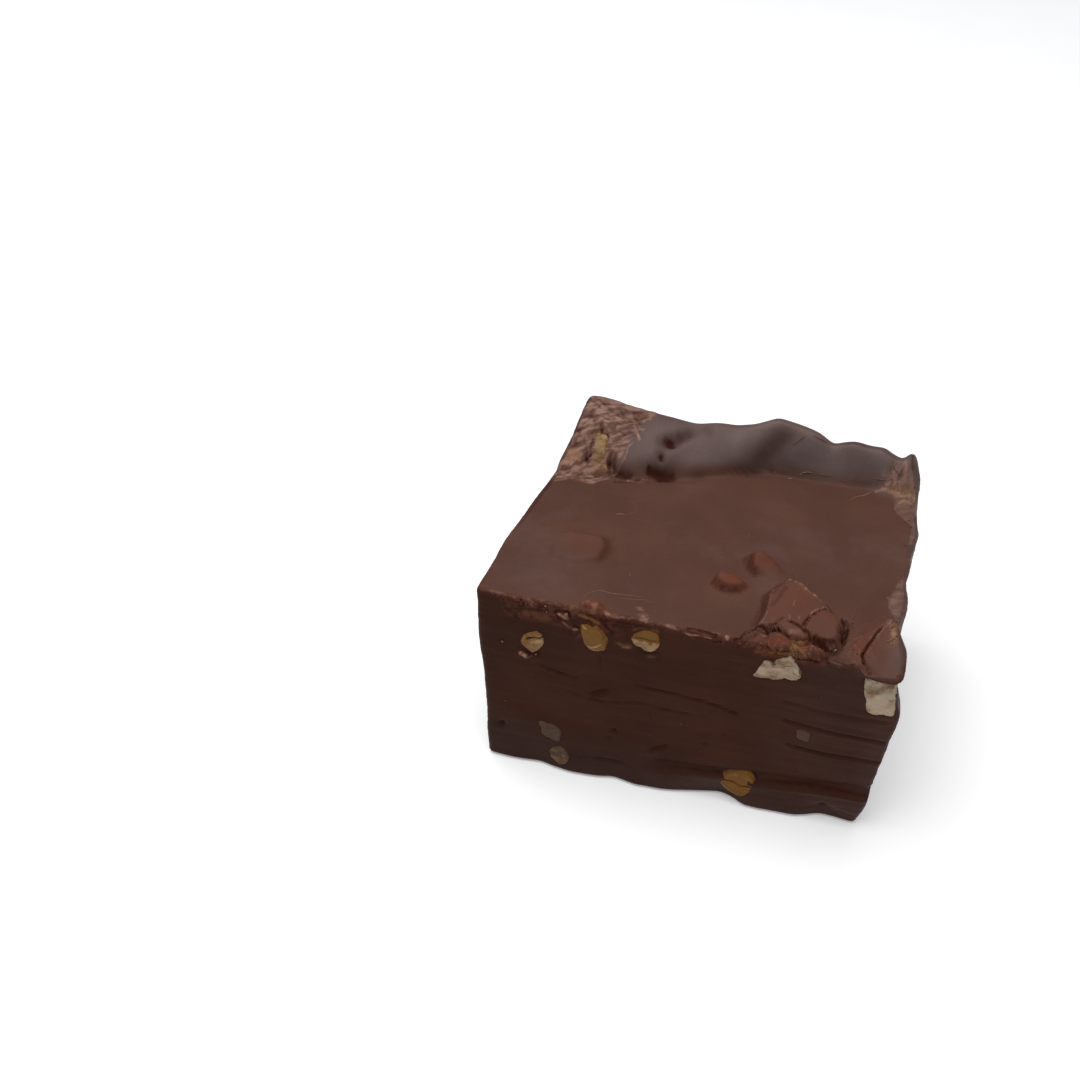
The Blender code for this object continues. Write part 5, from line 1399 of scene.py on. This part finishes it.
def shard(rng, size, flatness, points=10):
    """An angular bit: the hull of a few random points."""
    cloud = rng.normal(size=(points, 3))
    cloud /= np.linalg.norm(cloud, axis=1)[:, None]
    cloud *= np.array([1.0, rng.uniform(0.5, 0.9), flatness]) * size / 2
    bm = bmesh.new()
    for point in cloud:
        bm.verts.new(point)
    hull = bmesh.ops.convex_hull(bm, input=bm.verts)
    inner = [part for part in hull["geom_interior"] if isinstance(part, bmesh.types.BMVert)]
    bmesh.ops.delete(bm, geom=inner, context="VERTS")
    bmesh.ops.recalc_face_normals(bm, faces=bm.faces)
    bm.verts.index_update()
    verts = np.array([v.co[:] for v in bm.verts])
    faces = [[v.index for v in f.verts] for f in bm.faces]
    bm.free()
    return verts, faces


def turned(verts, rng):
    """The same points turned at random."""
    q, _ = np.linalg.qr(rng.normal(size=(3, 3)))
    if np.linalg.det(q) < 0:
        q[:, 0] = -q[:, 0]
    return verts @ q.T


def ribbon(path, width, height):
    """A thin raised curl or scratch edge along a path of points, tapered at its ends."""
    path = np.asarray(path, float)
    forward = np.gradient(path, axis=0)
    forward /= np.linalg.norm(forward, axis=1)[:, None] + 1e-9
    across = np.stack([-forward[:, 1], forward[:, 0], np.zeros(len(path))], axis=1)
    norm = np.linalg.norm(across, axis=1)[:, None]
    across = np.where(norm > 0.2, across / np.maximum(norm, 1e-9), np.array([1.0, 0.0, 0.0]))
    up = np.cross(forward, across)
    taper = np.sin(np.linspace(0.12, math.pi - 0.12, len(path)))[:, None]
    left, right = path + across * width / 2 * taper, path - across * width / 2 * taper
    crest, under = path + up * height * taper, path - up * height
    verts = np.stack([left, crest, right, under], axis=1).reshape(-1, 3)
    faces = []
    for i in range(len(path) - 1):
        a, b = 4 * i, 4 * (i + 1)
        faces += [[a + k, a + (k + 1) % 4, b + (k + 1) % 4, b + k] for k in range(4)]
    faces += [[3, 2, 1, 0], [4 * len(path) - 4 + k for k in range(4)]]
    return verts, faces


# Thin pale lines of the top, laid on it as slivers: paths of (x, y), width and paleness
SLIVERS = (
    Stroke(((10.1, 17.6), (11.5, 17.9)), 0.36, 0.60),
    Stroke(((11.3, 18.1), (12.0, 18.3), (12.4, 18.5), (13.2, 18.6), (14.4, 18.6)), 0.32, 0.62),
    Stroke(((14.0, 18.6), (16.1, 18.7), (17.9, 18.8)), 0.20, 0.40),
    Stroke(((18.7, 18.6), (19.9, 18.5)), 0.24, 0.42),
    Stroke(((20.7, 13.9), (21.1, 14.9), (21.9, 15.7), (22.5, 15.9), (23.4, 16.8), (24.2, 18.0)), 0.28, 0.45),
    Stroke(((23.6, 19.1), (24.9, 19.2), (26.3, 19.4)), 0.24, 0.36),
    Stroke(((9.8, 19.8), (10.4, 19.9), (10.8, 20.1), (11.9, 20.5)), 0.24, 0.20),
    Stroke(((12.9, 20.8), (14.6, 21.0), (16.0, 21.3)), 0.30, 0.22),
    Stroke(((-15.8, -20.4), (-15.0, -19.2), (-13.6, -18.2), (-11.7, -18.4), (-9.7, -18.1),
            (-6.8, -17.8)), 0.14, 0.60),
    Stroke(((-10.5, -19.1), (-8.8, -18.8), (-6.6, -18.4), (-5.0, -18.6)), 0.12, 0.40),
    Stroke(((-15.4, 0.4), (-14.6, 0.7), (-14.0, 0.7)), 0.26, 0.95),
    Stroke(((-14.0, 0.7), (-13.2, 1.2), (-12.5, 1.9)), 0.12, 0.35),
)

# Single specks of dust on the top: their places (x, y)
SPECKS = (
    (-20.1, -14.3), (-19.0, -15.0), (-9.9, -13.8), (-1.5, -1.9), (2.9, -5.6), (6.1, 1.0), (23.5, -14.7),
    (22.6, -10.1), (-5.2, -12.8), (-10.2, -3.6), (-11.0, -3.9), (13.8, -5.8), (18.5, -3.2), (7.9, 18.1),
    (25.2, 18.4),
)
# Pale crumbs along the broken lump's crest and left edge: place, size and paleness
CREST_CRUMBS = (
    (13.6, -11.3, 0.42, 0.75), (12.7, -12.2, 0.30, 0.45), (11.4, -13.9, 0.34, 0.70),
    (11.3, -15.6, 0.24, 0.50), (11.3, -16.9, 0.34, 0.75), (11.1, -17.9, 0.22, 0.50),
    (17.3, -13.3, 0.60, 0.40), (18.0, -14.0, 0.50, 0.45), (18.9, -14.8, 0.40, 0.40),
    (19.3, -15.6, 0.36, 0.60), (16.2, -12.2, 0.34, 0.35), (17.9, -13.2, 0.40, 0.30),
    (21.5, -20.7, 0.70, 0.95), (21.7, -21.0, 0.40, 0.60), (-5.6, -21.9, 0.60, 0.75),
    (-6.2, -21.0, 0.40, 0.55), (27.4, -16.9, 0.45, 0.45), (26.9, -17.8, 0.35, 0.35),
    (26.2, -18.8, 0.40, 0.30), (25.3, -20.6, 0.40, 0.25), (25.9, -21.7, 0.35, 0.25),
    (27.0, -17.2, 0.30, 0.20), (24.6, -21.0, 0.45, 0.10), (24.0, -20.4, 0.40, 0.06),
    (-5.2, -22.3, 0.40, 0.55), (-11.4, -22.0, 0.45, 0.80), (-10.9, -21.6, 0.30, 0.60),
    (-4.6, -22.7, 0.30, 0.50),
)

# Bits that stand out one by one: (x, y, z), size, flatness and paleness
FRONT_BITS = (
    ((-23.8, -23.6, 23.7), 1.0, 0.7, 0.85),
    ((-22.0, -23.5, 24.3), 0.5, 0.6, 0.6),
    ((-15.9, -23.4, 31.2), 1.1, 0.6, 0.45),
    ((-17.4, -23.3, 33.6), 1.2, 0.6, 0.40),
    ((31.1, -22.4, 29.6), 0.9, 0.8, 0.10),
    ((-27.4, -23.6, 25.7), 0.5, 0.5, 0.55),
    ((-25.9, -24.0, 12.6), 0.45, 0.6, 0.5),
    ((-26.9, -24.1, 13.0), 0.4, 0.6, 0.45),
    ((14.8, -23.3, 34.4), 1.1, 0.5, 0.12),
    ((16.2, -22.9, 35.0), 1.2, 0.5, 0.16),
    ((18.2, -22.6, 34.8), 1.6, 0.35, 0.10),
)

# How many of the scattered pieces there are
EDGE_CRUMB_COUNT = 420
CHUNK_CRUMB_COUNT = 36
CORNER_CRUMB_COUNT = 16
STRIP_CRUMB_COUNT = 60
SCRAPE_CURL_COUNT = 60
SPECK_COUNT = 60
FACE_SPECK_COUNT = 60
SCATTER_SEED = 5

# How finely the slivers follow their paths, and how high they stand
SLIVER_POINTS = 18
SLIVER_HEIGHT = 0.03


def curved(path, steps):
    """More points along a path of the top, lifted to its surface."""
    path = np.array(path, float)
    length = np.concatenate([[0.0], np.cumsum(np.hypot(*np.diff(path, axis=0).T))])
    wanted = np.linspace(0, length[-1], steps)
    x, y = np.interp(wanted, length, path[:, 0]), np.interp(wanted, length, path[:, 1])
    return np.stack([x, y, surface_height(x, y)], axis=1)


def add_slivers(heap):
    """The thin pale lines of the top."""
    for sliver in SLIVERS:
        verts, faces = ribbon(curved(sliver.path, SLIVER_POINTS), sliver.width, SLIVER_HEIGHT)
        heap.add(verts, faces, sliver.share)


def add_scraped_curls(heap, rng):
    """Thin pale curls over the scraped end of the rim and the top's right end."""
    for index in range(SCRAPE_CURL_COUNT):
        if index % 5 == 4:
            x, y = rng.normal(28.0, 1.0), rng.normal(19.4, 1.0)
            angle = rng.normal(1.0, 0.6)
        else:
            y = rng.uniform(7.0, 20.5)
            x = rng.uniform(-27.0, on_profile(y, SCRAPED_EDGE))
            angle = rng.normal(SCRAPE_TURN, 0.35)
        length = rng.uniform(0.4, 2.2)
        bend = rng.normal(0, 0.4)
        steps = np.linspace(-0.5, 0.5, 8)
        px = x + length * steps * math.cos(angle) + bend * steps ** 2 * math.sin(angle)
        py = y + length * steps * math.sin(angle) - bend * steps ** 2 * math.cos(angle)
        inside = (px > -27.0 + 0.12 * np.maximum(py - 8, 0)) & (px < 30.2) & (py < 21.6)
        if not inside.all():
            continue
        path = np.stack([px, py, surface_height(px, py)], axis=1)
        verts, faces = ribbon(path, rng.uniform(0.06, 0.18), rng.uniform(0.01, 0.04))
        heap.add(verts, faces, rng.uniform(0.1, 0.5))


def add_crumb(heap, rng, place, size, pale):
    """An angular crumb, turned at random."""
    verts, faces = shard(rng, size, rng.uniform(0.45, 0.9))
    heap.add(turned(verts, rng) + place, faces, pale)


def add_top_crumb(heap, rng, x, y, size, pale, lift=0.0):
    """A crumb that lies on the top."""
    add_crumb(heap, rng, (x, y, surface_height(x, y)[0] + lift), size, pale)


def front_point(x, z):
    """The finished front's point at one place along it and height."""
    return wall_points("front", np.array([x]), np.array([z]))[0]


def add_edge_crumbs(heap, rng):
    """Crumbs along the front's broken top edge, thickest at the lip and by the nuts."""
    for _ in range(EDGE_CRUMB_COUNT):
        x = rng.uniform(-29.5, 21.5)
        if rng.random() > edge_breakage("front", x):
            continue
        drop = rng.exponential(0.45) + 0.05
        if -26.0 < x < -8.5 and rng.random() < 0.35:
            drop = rng.uniform(0.2, 4.0)
        crown = surface_height(x, CROWN_DEPTH)[0]
        place = front_point(x, crown - drop - 0.1)
        size = min(0.6, 0.14 + rng.exponential(0.10))
        pale = rng.uniform(0.6, 1.0) if rng.random() < 0.10 else rng.uniform(0.0, 0.12)
        add_crumb(heap, rng, place, size, pale)


def add_chunk_crumbs(heap, rng):
    """Crumbs and angular bits in front of the broken lump and in its hole."""
    for index in range(CHUNK_CRUMB_COUNT):
        if index % 3 == 0:
            x, y = rng.uniform(21.8, 22.9), rng.uniform(-20.4, -15.4)
        elif index % 3 == 1:
            x, y = rng.uniform(17.6, 21.6), rng.uniform(-22.0, -20.8)
        else:
            x, y = rng.uniform(9.6, 20.0), rng.uniform(-23.6, -20.6)
        size = min(0.7, 0.14 + rng.exponential(0.12))
        add_top_crumb(heap, rng, x, y, size, rng.uniform(0.0, 0.4) ** 2)
    for x, y, size, pale in CREST_CRUMBS:
        add_top_crumb(heap, rng, x, y, size, pale, 0.05)
    for _ in range(CORNER_CRUMB_COUNT):
        x, y = rng.uniform(28.5, 29.8), rng.uniform(-19.2, -15.6)
        add_top_crumb(heap, rng, x, y, rng.uniform(0.3, 0.8), rng.uniform(0.3, 0.7))


def add_strip_crumbs(heap, rng):
    """Crumbs along the right end's broken strip."""
    for _ in range(STRIP_CRUMB_COUNT):
        y = rng.uniform(-15.0, 20.0)
        x = side_line("right", y) - rng.uniform(0.8, 1.8)
        add_top_crumb(heap, rng, x, y, rng.uniform(0.12, 0.45), rng.uniform(0.05, 0.5))


def add_specks(heap, rng):
    """Tiny pale specks of dust on the top and the front."""
    for x, y in SPECKS:
        add_top_crumb(heap, rng, x, y, rng.uniform(0.22, 0.36), rng.uniform(0.4, 0.8))
    for _ in range(SPECK_COUNT):
        x, y = rng.uniform(-28.0, 29.0), rng.uniform(-21.5, 17.0)
        add_top_crumb(heap, rng, x, y, rng.uniform(0.08, 0.16), rng.uniform(0.2, 0.7))
    for _ in range(FACE_SPECK_COUNT):
        x, z = rng.uniform(-29.5, 29.5), rng.uniform(1.0, 33.0)
        add_crumb(heap, rng, front_point(x, z), rng.uniform(0.08, 0.20), rng.uniform(0.1, 0.6))


def make_bits():
    """All the loose crumbs, curls, scratches and specks."""
    rng = np.random.default_rng(SCATTER_SEED)
    crumbs, curls = Heap(), Heap()
    add_edge_crumbs(crumbs, rng)
    add_chunk_crumbs(crumbs, rng)
    add_strip_crumbs(crumbs, rng)
    for place, size, flatness, pale in FRONT_BITS:
        verts, faces = shard(rng, size, flatness, points=12)
        crumbs.add(turned(verts, rng) + np.array(place), faces, pale)
    add_slivers(curls)
    add_scraped_curls(curls, rng)
    add_specks(curls, rng)
    return crumbs.to_object("fudge_crumbs"), curls.to_object("fudge_curls")


# Colours of the chocolate, the crumbs, the nuts, the marshmallow and the stage
CHOCOLATE_TOP = (0.0865, 0.0380, 0.0262)
# The cuts' colours are darkened as painted shade of the upright faces
CHOCOLATE_CUT_SHADED = (0.0400, 0.0120, 0.0055)
CHOCOLATE_CUT_WARM_SHADED = (0.0470, 0.0125, 0.0050)
CHOCOLATE_WARM = (0.1200, 0.0345, 0.0185)
# The rim's painted sheen, also used for the top's faint random clouds
CHOCOLATE_SHEEN_AND_CLOUD = (0.1560, 0.1140, 0.1080)
CHOCOLATE_SCRAPED = (0.2780, 0.1580, 0.1180)
# A painted reflection of the white floor on the lower walls
CHOCOLATE_FLOOR_REFLECTION = (0.0460, 0.0235, 0.0205)
# Dark stains, and painted shade in cracks, grooves, dents and gaps
CHOCOLATE_DARK_AND_SHADE = (0.0330, 0.0075, 0.0040)
# Pale scrapes and crumbs, and painted highlights
CHOCOLATE_PALE_AND_HIGHLIGHT = (0.3650, 0.1950, 0.1380)
CHOCOLATE_OCHRE = (0.2300, 0.1150, 0.0360)
CRUMB_DARK = (0.070, 0.0200, 0.0100)
CURL_DARK = (0.110, 0.0560, 0.0400)
CRUMB_PALE = (0.335, 0.1850, 0.1200)
NUT_AMBER = (0.165, 0.0700, 0.0090)
NUT_STREAK = (0.120, 0.0520, 0.0180)
NUT_CREAM = (0.305, 0.1930, 0.0950)
NUT_SMEAR = (0.068, 0.0370, 0.0225)
MALLOW_WHITE = (0.400, 0.3050, 0.2120)
MALLOW_GREY = (0.240, 0.1850, 0.1250)
MALLOW_STAIN = (0.150, 0.0620, 0.0260)
FLOOR_DULL = (0.88, 0.88, 0.88)
FLOOR_BRIGHT = (0.92, 0.92, 0.92)
WHITE = (1.0, 1.0, 1.0)
SKY = (0.93, 0.95, 1.0)


class Graph:
    """A material's node tree, with short ways to add and join nodes."""

    def __init__(self, name):
        self.material = bpy.data.materials.new(name)
        self.material.use_nodes = True
        self.tree = self.material.node_tree
        self.shader = self.tree.nodes["Principled BSDF"]
        self.place = self.node("ShaderNodeTexCoord").outputs["Object"]

    def node(self, kind, **settings):
        made = self.tree.nodes.new(kind)
        for label, value in settings.items():
            setattr(made, label, value)
        return made

    def join(self, source, target):
        if hasattr(source, "is_output"):
            self.tree.links.new(source, target)
        else:
            target.default_value = source

    def fill(self, node, **values):
        """Gives a node's sockets their values or links. An underscore stands for a space in a name."""
        for label, value in values.items():
            self.join(value, node.inputs[label.replace("_", " ")])

    def mapped(self, place, **values):
        made = self.node("ShaderNodeMapping")
        self.fill(made, Vector=place, **values)
        return made.outputs["Vector"]

    def attribute(self, label):
        return self.node("ShaderNodeAttribute", attribute_name=label).outputs["Fac"]

    def noise(self, scale, detail=3.0, stretch=None, turn=0.0, roughness=0.55, distortion=0.0):
        made = self.node("ShaderNodeTexNoise")
        self.fill(made, Scale=scale, Detail=detail, Roughness=roughness, Distortion=distortion)
        place = self.place
        if turn:
            place = self.mapped(place, Rotation=(0.0, 0.0, turn))
        if stretch:
            place = self.mapped(place, Scale=stretch)
        self.join(place, made.inputs["Vector"])
        return made.outputs["Fac"]

    def math(self, operation, a, b):
        made = self.node("ShaderNodeMath", operation=operation)
        self.join(a, made.inputs[0])
        self.join(b, made.inputs[1])
        return made.outputs[0]

    def times(self, a, b):
        return self.math("MULTIPLY", a, b)

    def plus(self, a, b):
        return self.math("ADD", a, b)

    def minus(self, a, b):
        return self.math("SUBTRACT", a, b)

    def span(self, value, low, high, to_low=0.0, to_high=1.0):
        """The value's range from low to high eased into another range."""
        made = self.node("ShaderNodeMapRange", interpolation_type="SMOOTHSTEP")
        self.fill(made, Value=value, From_Min=low, From_Max=high, To_Min=to_low, To_Max=to_high)
        return made.outputs["Result"]

    def mix(self, share, a, b):
        made = self.node("ShaderNodeMix", data_type="RGBA")
        self.join(share, made.inputs[0])
        for socket, value in ((made.inputs[6], a), (made.inputs[7], b)):
            self.join((*value, 1.0) if isinstance(value, tuple) else value, socket)
        return made.outputs[2]

    def bump(self, height, distance):
        made = self.node("ShaderNodeBump")
        self.fill(made, Strength=1.0, Distance=distance, Height=height)
        self.join(made.outputs["Normal"], self.shader.inputs["Normal"])


def chocolate_look(name, gloss, bump):
    """Dull poured top, knife-dragged cuts in painted shade, reddish broken and pale scraped chocolate."""
    g = Graph(name)
    blotch = g.noise(90.0, 3.0)
    mottle = g.noise(420.0, 4.0)
    grain = g.noise(2600.0, 3.0)
    drag = g.noise(300.0, 4.0, stretch=(0.12, 0.12, 1.0), distortion=0.3)
    cut = g.attribute("cut")
    uncut = g.minus(1.0, cut)
    # The cuts' darker colour is painted shade
    colour = g.mix(cut, CHOCOLATE_TOP, CHOCOLATE_CUT_SHADED)
    # Painted sheen: the rim's grey-pink reflection of the surroundings
    painted_sheen = g.times(g.attribute("painted_sheen"), g.span(blotch, 0.30, 0.62, 0.75, 1.0))
    colour = g.mix(painted_sheen, colour, CHOCOLATE_SHEEN_AND_CLOUD)
    clouded = g.times(g.span(g.noise(70.0, 4.0, roughness=0.65), 0.50, 0.70, 0.0, 0.12), uncut)
    colour = g.mix(clouded, colour, CHOCOLATE_SHEEN_AND_CLOUD)
    warm = g.times(g.attribute("warm"), g.span(mottle, 0.30, 0.60, 0.55, 1.0))
    colour = g.mix(warm, colour, CHOCOLATE_WARM)
    warm_patches = g.times(g.span(g.noise(60.0, 2.0), 0.50, 0.68), cut)
    colour = g.mix(g.times(warm_patches, 0.45), colour, CHOCOLATE_CUT_WARM_SHADED)
    streak = g.noise(900.0, 4.0, stretch=(0.16, 1.0, 0.8), turn=-SCRAPE_TURN, distortion=0.9)
    scraped = g.times(g.attribute("scrape"), g.span(streak, 0.44, 0.62, 0.14, 0.92))
    colour = g.mix(scraped, colour, CHOCOLATE_SCRAPED)
    crumbled = g.times(g.attribute("crumbled"), g.span(g.noise(1500.0, 3.0), 0.52, 0.66))
    colour = g.mix(g.times(crumbled, 0.25), colour, CHOCOLATE_SCRAPED)
    # Painted reflection of the white floor on the walls' lower and right parts
    colour = g.mix(g.times(g.attribute("low"), 0.6), colour, CHOCOLATE_FLOOR_REFLECTION)
    tone = g.times(g.span(blotch, 0.28, 0.72, 0.90, 1.10), g.span(grain, 0.2, 0.8, 0.95, 1.05))
    dragged = g.times(g.minus(drag, 0.5), g.times(cut, 0.5))
    tone = g.times(tone, g.plus(dragged, 1.0))
    # The cuts are darker towards the left end
    sides = g.node("ShaderNodeSeparateXYZ")
    g.fill(sides, Vector=g.place)
    darker_left = g.times(cut, g.span(sides.outputs["X"], -0.031, 0.004, 0.16, 0.0))
    tone = g.times(tone, g.minus(1.0, darker_left))
    toned = g.node("ShaderNodeVectorMath", operation="SCALE")
    g.fill(toned, Vector=colour, Scale=tone)
    fleck = g.span(g.noise(1700.0, 3.0), 0.30, 0.62, 0.45, 1.0)
    colour = g.mix(g.times(g.attribute("ochre"), fleck), toned.outputs[0], CHOCOLATE_OCHRE)
    # Pale marks, with painted highlights on lit edges
    colour = g.mix(g.times(g.attribute("pale"), fleck), colour, CHOCOLATE_PALE_AND_HIGHLIGHT)
    # Dark marks, with painted shade in cracks, grooves, dents, gaps and on flanks
    colour = g.mix(g.attribute("dark"), colour, CHOCOLATE_DARK_AND_SHADE)
    rough = g.span(mottle, 0.2, 0.8, 0.44, 0.54)
    rough = g.plus(rough, g.times(g.attribute("crumbled"), 0.2))
    rough = g.plus(rough, g.times(g.attribute("scrape"), 0.15))
    rough = g.plus(rough, g.times(g.attribute("dark"), 0.35))
    height = g.times(drag, g.span(cut, 0.0, 1.0, 0.05, 1.0))
    height = g.plus(height, g.times(grain, 0.25))
    height = g.plus(height, g.times(mottle, 0.20))
    g.bump(height, bump)
    g.fill(g.shader, Base_Color=colour, Roughness=rough, Specular_IOR_Level=gloss)
    return g.material


def chocolate_materials():
    """The poured top's look and the cuts' look."""
    return [chocolate_look("fudge_top_look", 0.09, 0.00004), chocolate_look("fudge_cut_look", 0.05, 0.00012)]


def bits_material(name, base):
    """Crumbs and curls, each its own paleness."""
    g = Graph(name)
    grain = g.noise(2400.0, 3.0)
    colour = g.mix(g.attribute("pale"), base, CRUMB_PALE)
    colour = g.mix(g.span(grain, 0.35, 0.70, 0.0, 0.5), colour, CHOCOLATE_CUT_SHADED)
    g.bump(grain, 0.00008)
    rough = g.span(grain, 0.2, 0.8, 0.50, 0.70)
    g.fill(g.shader, Base_Color=colour, Roughness=rough, Specular_IOR_Level=0.25)
    return g.material


def nut_material():
    """Cut nut: amber flesh and cream facets, smeared with chocolate towards its edge."""
    g = Graph("nut_look")
    fibre = g.noise(700.0, 4.0, distortion=0.6)
    grain = g.noise(2800.0, 3.0)
    light = g.span(g.plus(g.attribute("light"), g.times(fibre, 0.5)), 0.45, 1.0)
    colour = g.mix(light, NUT_AMBER, NUT_CREAM)
    colour = g.mix(g.span(fibre, 0.35, 0.62, 0.45, 0.0), colour, NUT_STREAK)
    edge = g.plus(g.attribute("smear"), g.times(g.attribute("rim"), 0.35))
    smear = g.span(g.plus(edge, g.times(g.noise(1100.0, 4.0), 0.6)), 0.55, 1.05)
    colour = g.mix(smear, colour, NUT_SMEAR)
    g.bump(g.plus(fibre, g.times(grain, 0.5)), 0.00018)
    rough = g.span(fibre, 0.2, 0.8, 0.38, 0.62)
    g.fill(g.shader, Base_Color=colour, Roughness=rough, Specular_IOR_Level=0.12,
           Subsurface_Weight=0.20, Subsurface_Radius=(1.0, 0.5, 0.2), Subsurface_Scale=0.0008)
    return g.material


def marshmallow_material():
    """Marshmallow crumb: off-white and foamy, browned where chocolate has run over it."""
    g = Graph("marshmallow_look")
    foam = g.noise(1500.0, 4.0)
    blotch = g.noise(350.0, 3.0)
    light = g.plus(g.attribute("light"), g.times(foam, 0.8))
    colour = g.mix(g.span(light, 0.55, 1.15), MALLOW_GREY, MALLOW_WHITE)
    colour = g.mix(g.span(blotch, 0.30, 0.50, 0.35, 0.0), colour, MALLOW_GREY)
    edge = g.plus(g.attribute("smear"), g.times(g.attribute("rim"), 0.4))
    stain = g.span(g.plus(edge, g.times(g.noise(800.0, 4.0), 0.6)), 0.50, 0.95)
    colour = g.mix(stain, colour, MALLOW_STAIN)
    g.bump(g.plus(foam, g.times(blotch, 0.6)), 0.00030)
    g.fill(g.shader, Base_Color=colour, Roughness=0.85, Specular_IOR_Level=0.2,
           Subsurface_Weight=0.15, Subsurface_Radius=(1.0, 0.8, 0.6), Subsurface_Scale=0.0006)
    return g.material


def floor_material():
    """A plain white studio floor, faintly lit from within so that shadows on it stay light."""
    g = Graph("floor_look")
    speckle = g.noise(40.0, 2.0)
    g.fill(g.shader, Base_Color=g.mix(speckle, FLOOR_DULL, FLOOR_BRIGHT), Roughness=0.9,
           Specular_IOR_Level=0.0, Emission_Color=(*WHITE, 1.0), Emission_Strength=0.22)
    return g.material


def dress(piece, looks, slot, *nodes):
    """Gives a piece its materials, rides it on the block, and hides the nodes it stands for.
    The slot is not used.
    """
    for look in looks:
        piece.data.materials.append(look)
    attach(piece, "root")
    if nodes:
        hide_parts(*nodes)


def make_inclusions(nut_look, mallow_look):
    """Every nut and marshmallow, cut level with the face that shows it."""
    items = list(FRONT_INCLUSIONS)
    for node, kind, face, along, height, wide, tall, turn, seed in SIDE_INCLUSIONS:
        outline = side_outline(along, height, wide, tall, turn, seed, kind == "marshmallow")
        light = 0.2 + 0.6 * ((seed * 7) % 10) / 10
        items.append(Inclusion(node, kind, face, outline, SIDE_DEPTH, SIDE_PROUD, seed, SIDE_SMEAR, light))
    for item in items:
        piece = inclusion_object(item)
        dress(piece, [nut_look if item.kind == "nut" else mallow_look], item.kind, item.node)
    corner = lump_object("detailed_marshmallow_corner", CORNER_PIECE_PLACE, CORNER_PIECE_SIZE,
                         seed=5, square=7.0, relief=0.12, smear=0.14, light=0.55, lean=0.20)
    dress(corner, [mallow_look], "marshmallow", "marshmallow_corner")
    x, y = RIM_NUT_PLACE
    rim_place = (x, y, float(surface_height(x, y)[0]) - RIM_NUT_SUNK)
    rim_nut = lump_object("detailed_nut_rim", rim_place, RIM_NUT_SIZE,
                          seed=9, square=2.6, relief=0.12, smear=0.05, light=0.35, turn=12, laid=True)
    dress(rim_nut, [nut_look], "nut", "nut_rim")


# The stage in metres, apart from the camera's place, which is in the block's millimetres
FLOOR_SIZE = 4.0
FLOOR_HEIGHT = -0.00005
LIGHT_PLACE = (-0.14, -0.03, 0.75)
LIGHT_AIM = (0, 0, 0.02)
LIGHT_SIZE = 0.85
LIGHT_ENERGY = 7.0
SKY_STRENGTH = 0.25
CAMERA_PLACE = (14.0715, -148.464, 156.386)
CAMERA_TILT, CAMERA_TURN = 50.0, 15.83
CAMERA_LENS = 40.0
CAMERA_SENSOR = 36.0
CAMERA_NEAR = 0.005


def add_overhead_light():
    """A soft square light above the block and to its left."""
    light = bpy.data.lights.new("overhead", "AREA")
    light.shape = "SQUARE"
    light.size = LIGHT_SIZE
    light.energy = LIGHT_ENERGY
    light.color = WHITE
    made = bpy.data.objects.new("overhead", light)
    made.location = LIGHT_PLACE
    made.rotation_euler = (Vector(LIGHT_AIM) - Vector(LIGHT_PLACE)).to_track_quat("-Z", "Y").to_euler()
    bpy.context.scene.collection.objects.link(made)


def make_stage():
    """Floor, light and camera."""
    bpy.ops.mesh.primitive_plane_add(size=FLOOR_SIZE, location=(0.0, 0.0, FLOOR_HEIGHT))
    floor = bpy.context.object
    floor.name = "floor"
    floor.data.materials.append(floor_material())
    add_overhead_light()
    world = bpy.data.worlds.new("studio")
    world.use_nodes = True
    backdrop = world.node_tree.nodes["Background"]
    backdrop.inputs["Color"].default_value = (*SKY, 1.0)
    backdrop.inputs["Strength"].default_value = SKY_STRENGTH
    scene = bpy.context.scene
    scene.world = world
    scene.view_settings.view_transform = "Standard"
    camera = bpy.data.cameras.new("camera")
    camera.lens = CAMERA_LENS
    camera.sensor_width = CAMERA_SENSOR
    camera.clip_start = CAMERA_NEAR
    made = bpy.data.objects.new("camera", camera)
    made.location = in_metres(CAMERA_PLACE)
    made.rotation_euler = (math.radians(CAMERA_TILT), 0.0, math.radians(CAMERA_TURN))
    scene.collection.objects.link(made)
    scene.camera = made


def corners(bounds):
    """A box's two corners as plain lists."""
    return [[float(value) for value in corner] for corner in bounds]


fudge_looks = chocolate_materials()
dress(make_block(), fudge_looks, "fudge", "fudge_block")
for patch in PATCHES:
    dress(make_patch(patch), fudge_looks, "fudge")
make_inclusions(nut_material(), marshmallow_material())
crumbs, curls = make_bits()
dress(crumbs, [bits_material("crumb_look", CRUMB_DARK)], "fudge")
dress(curls, [bits_material("curl_look", CURL_DARK)], "fudge")
make_stage()
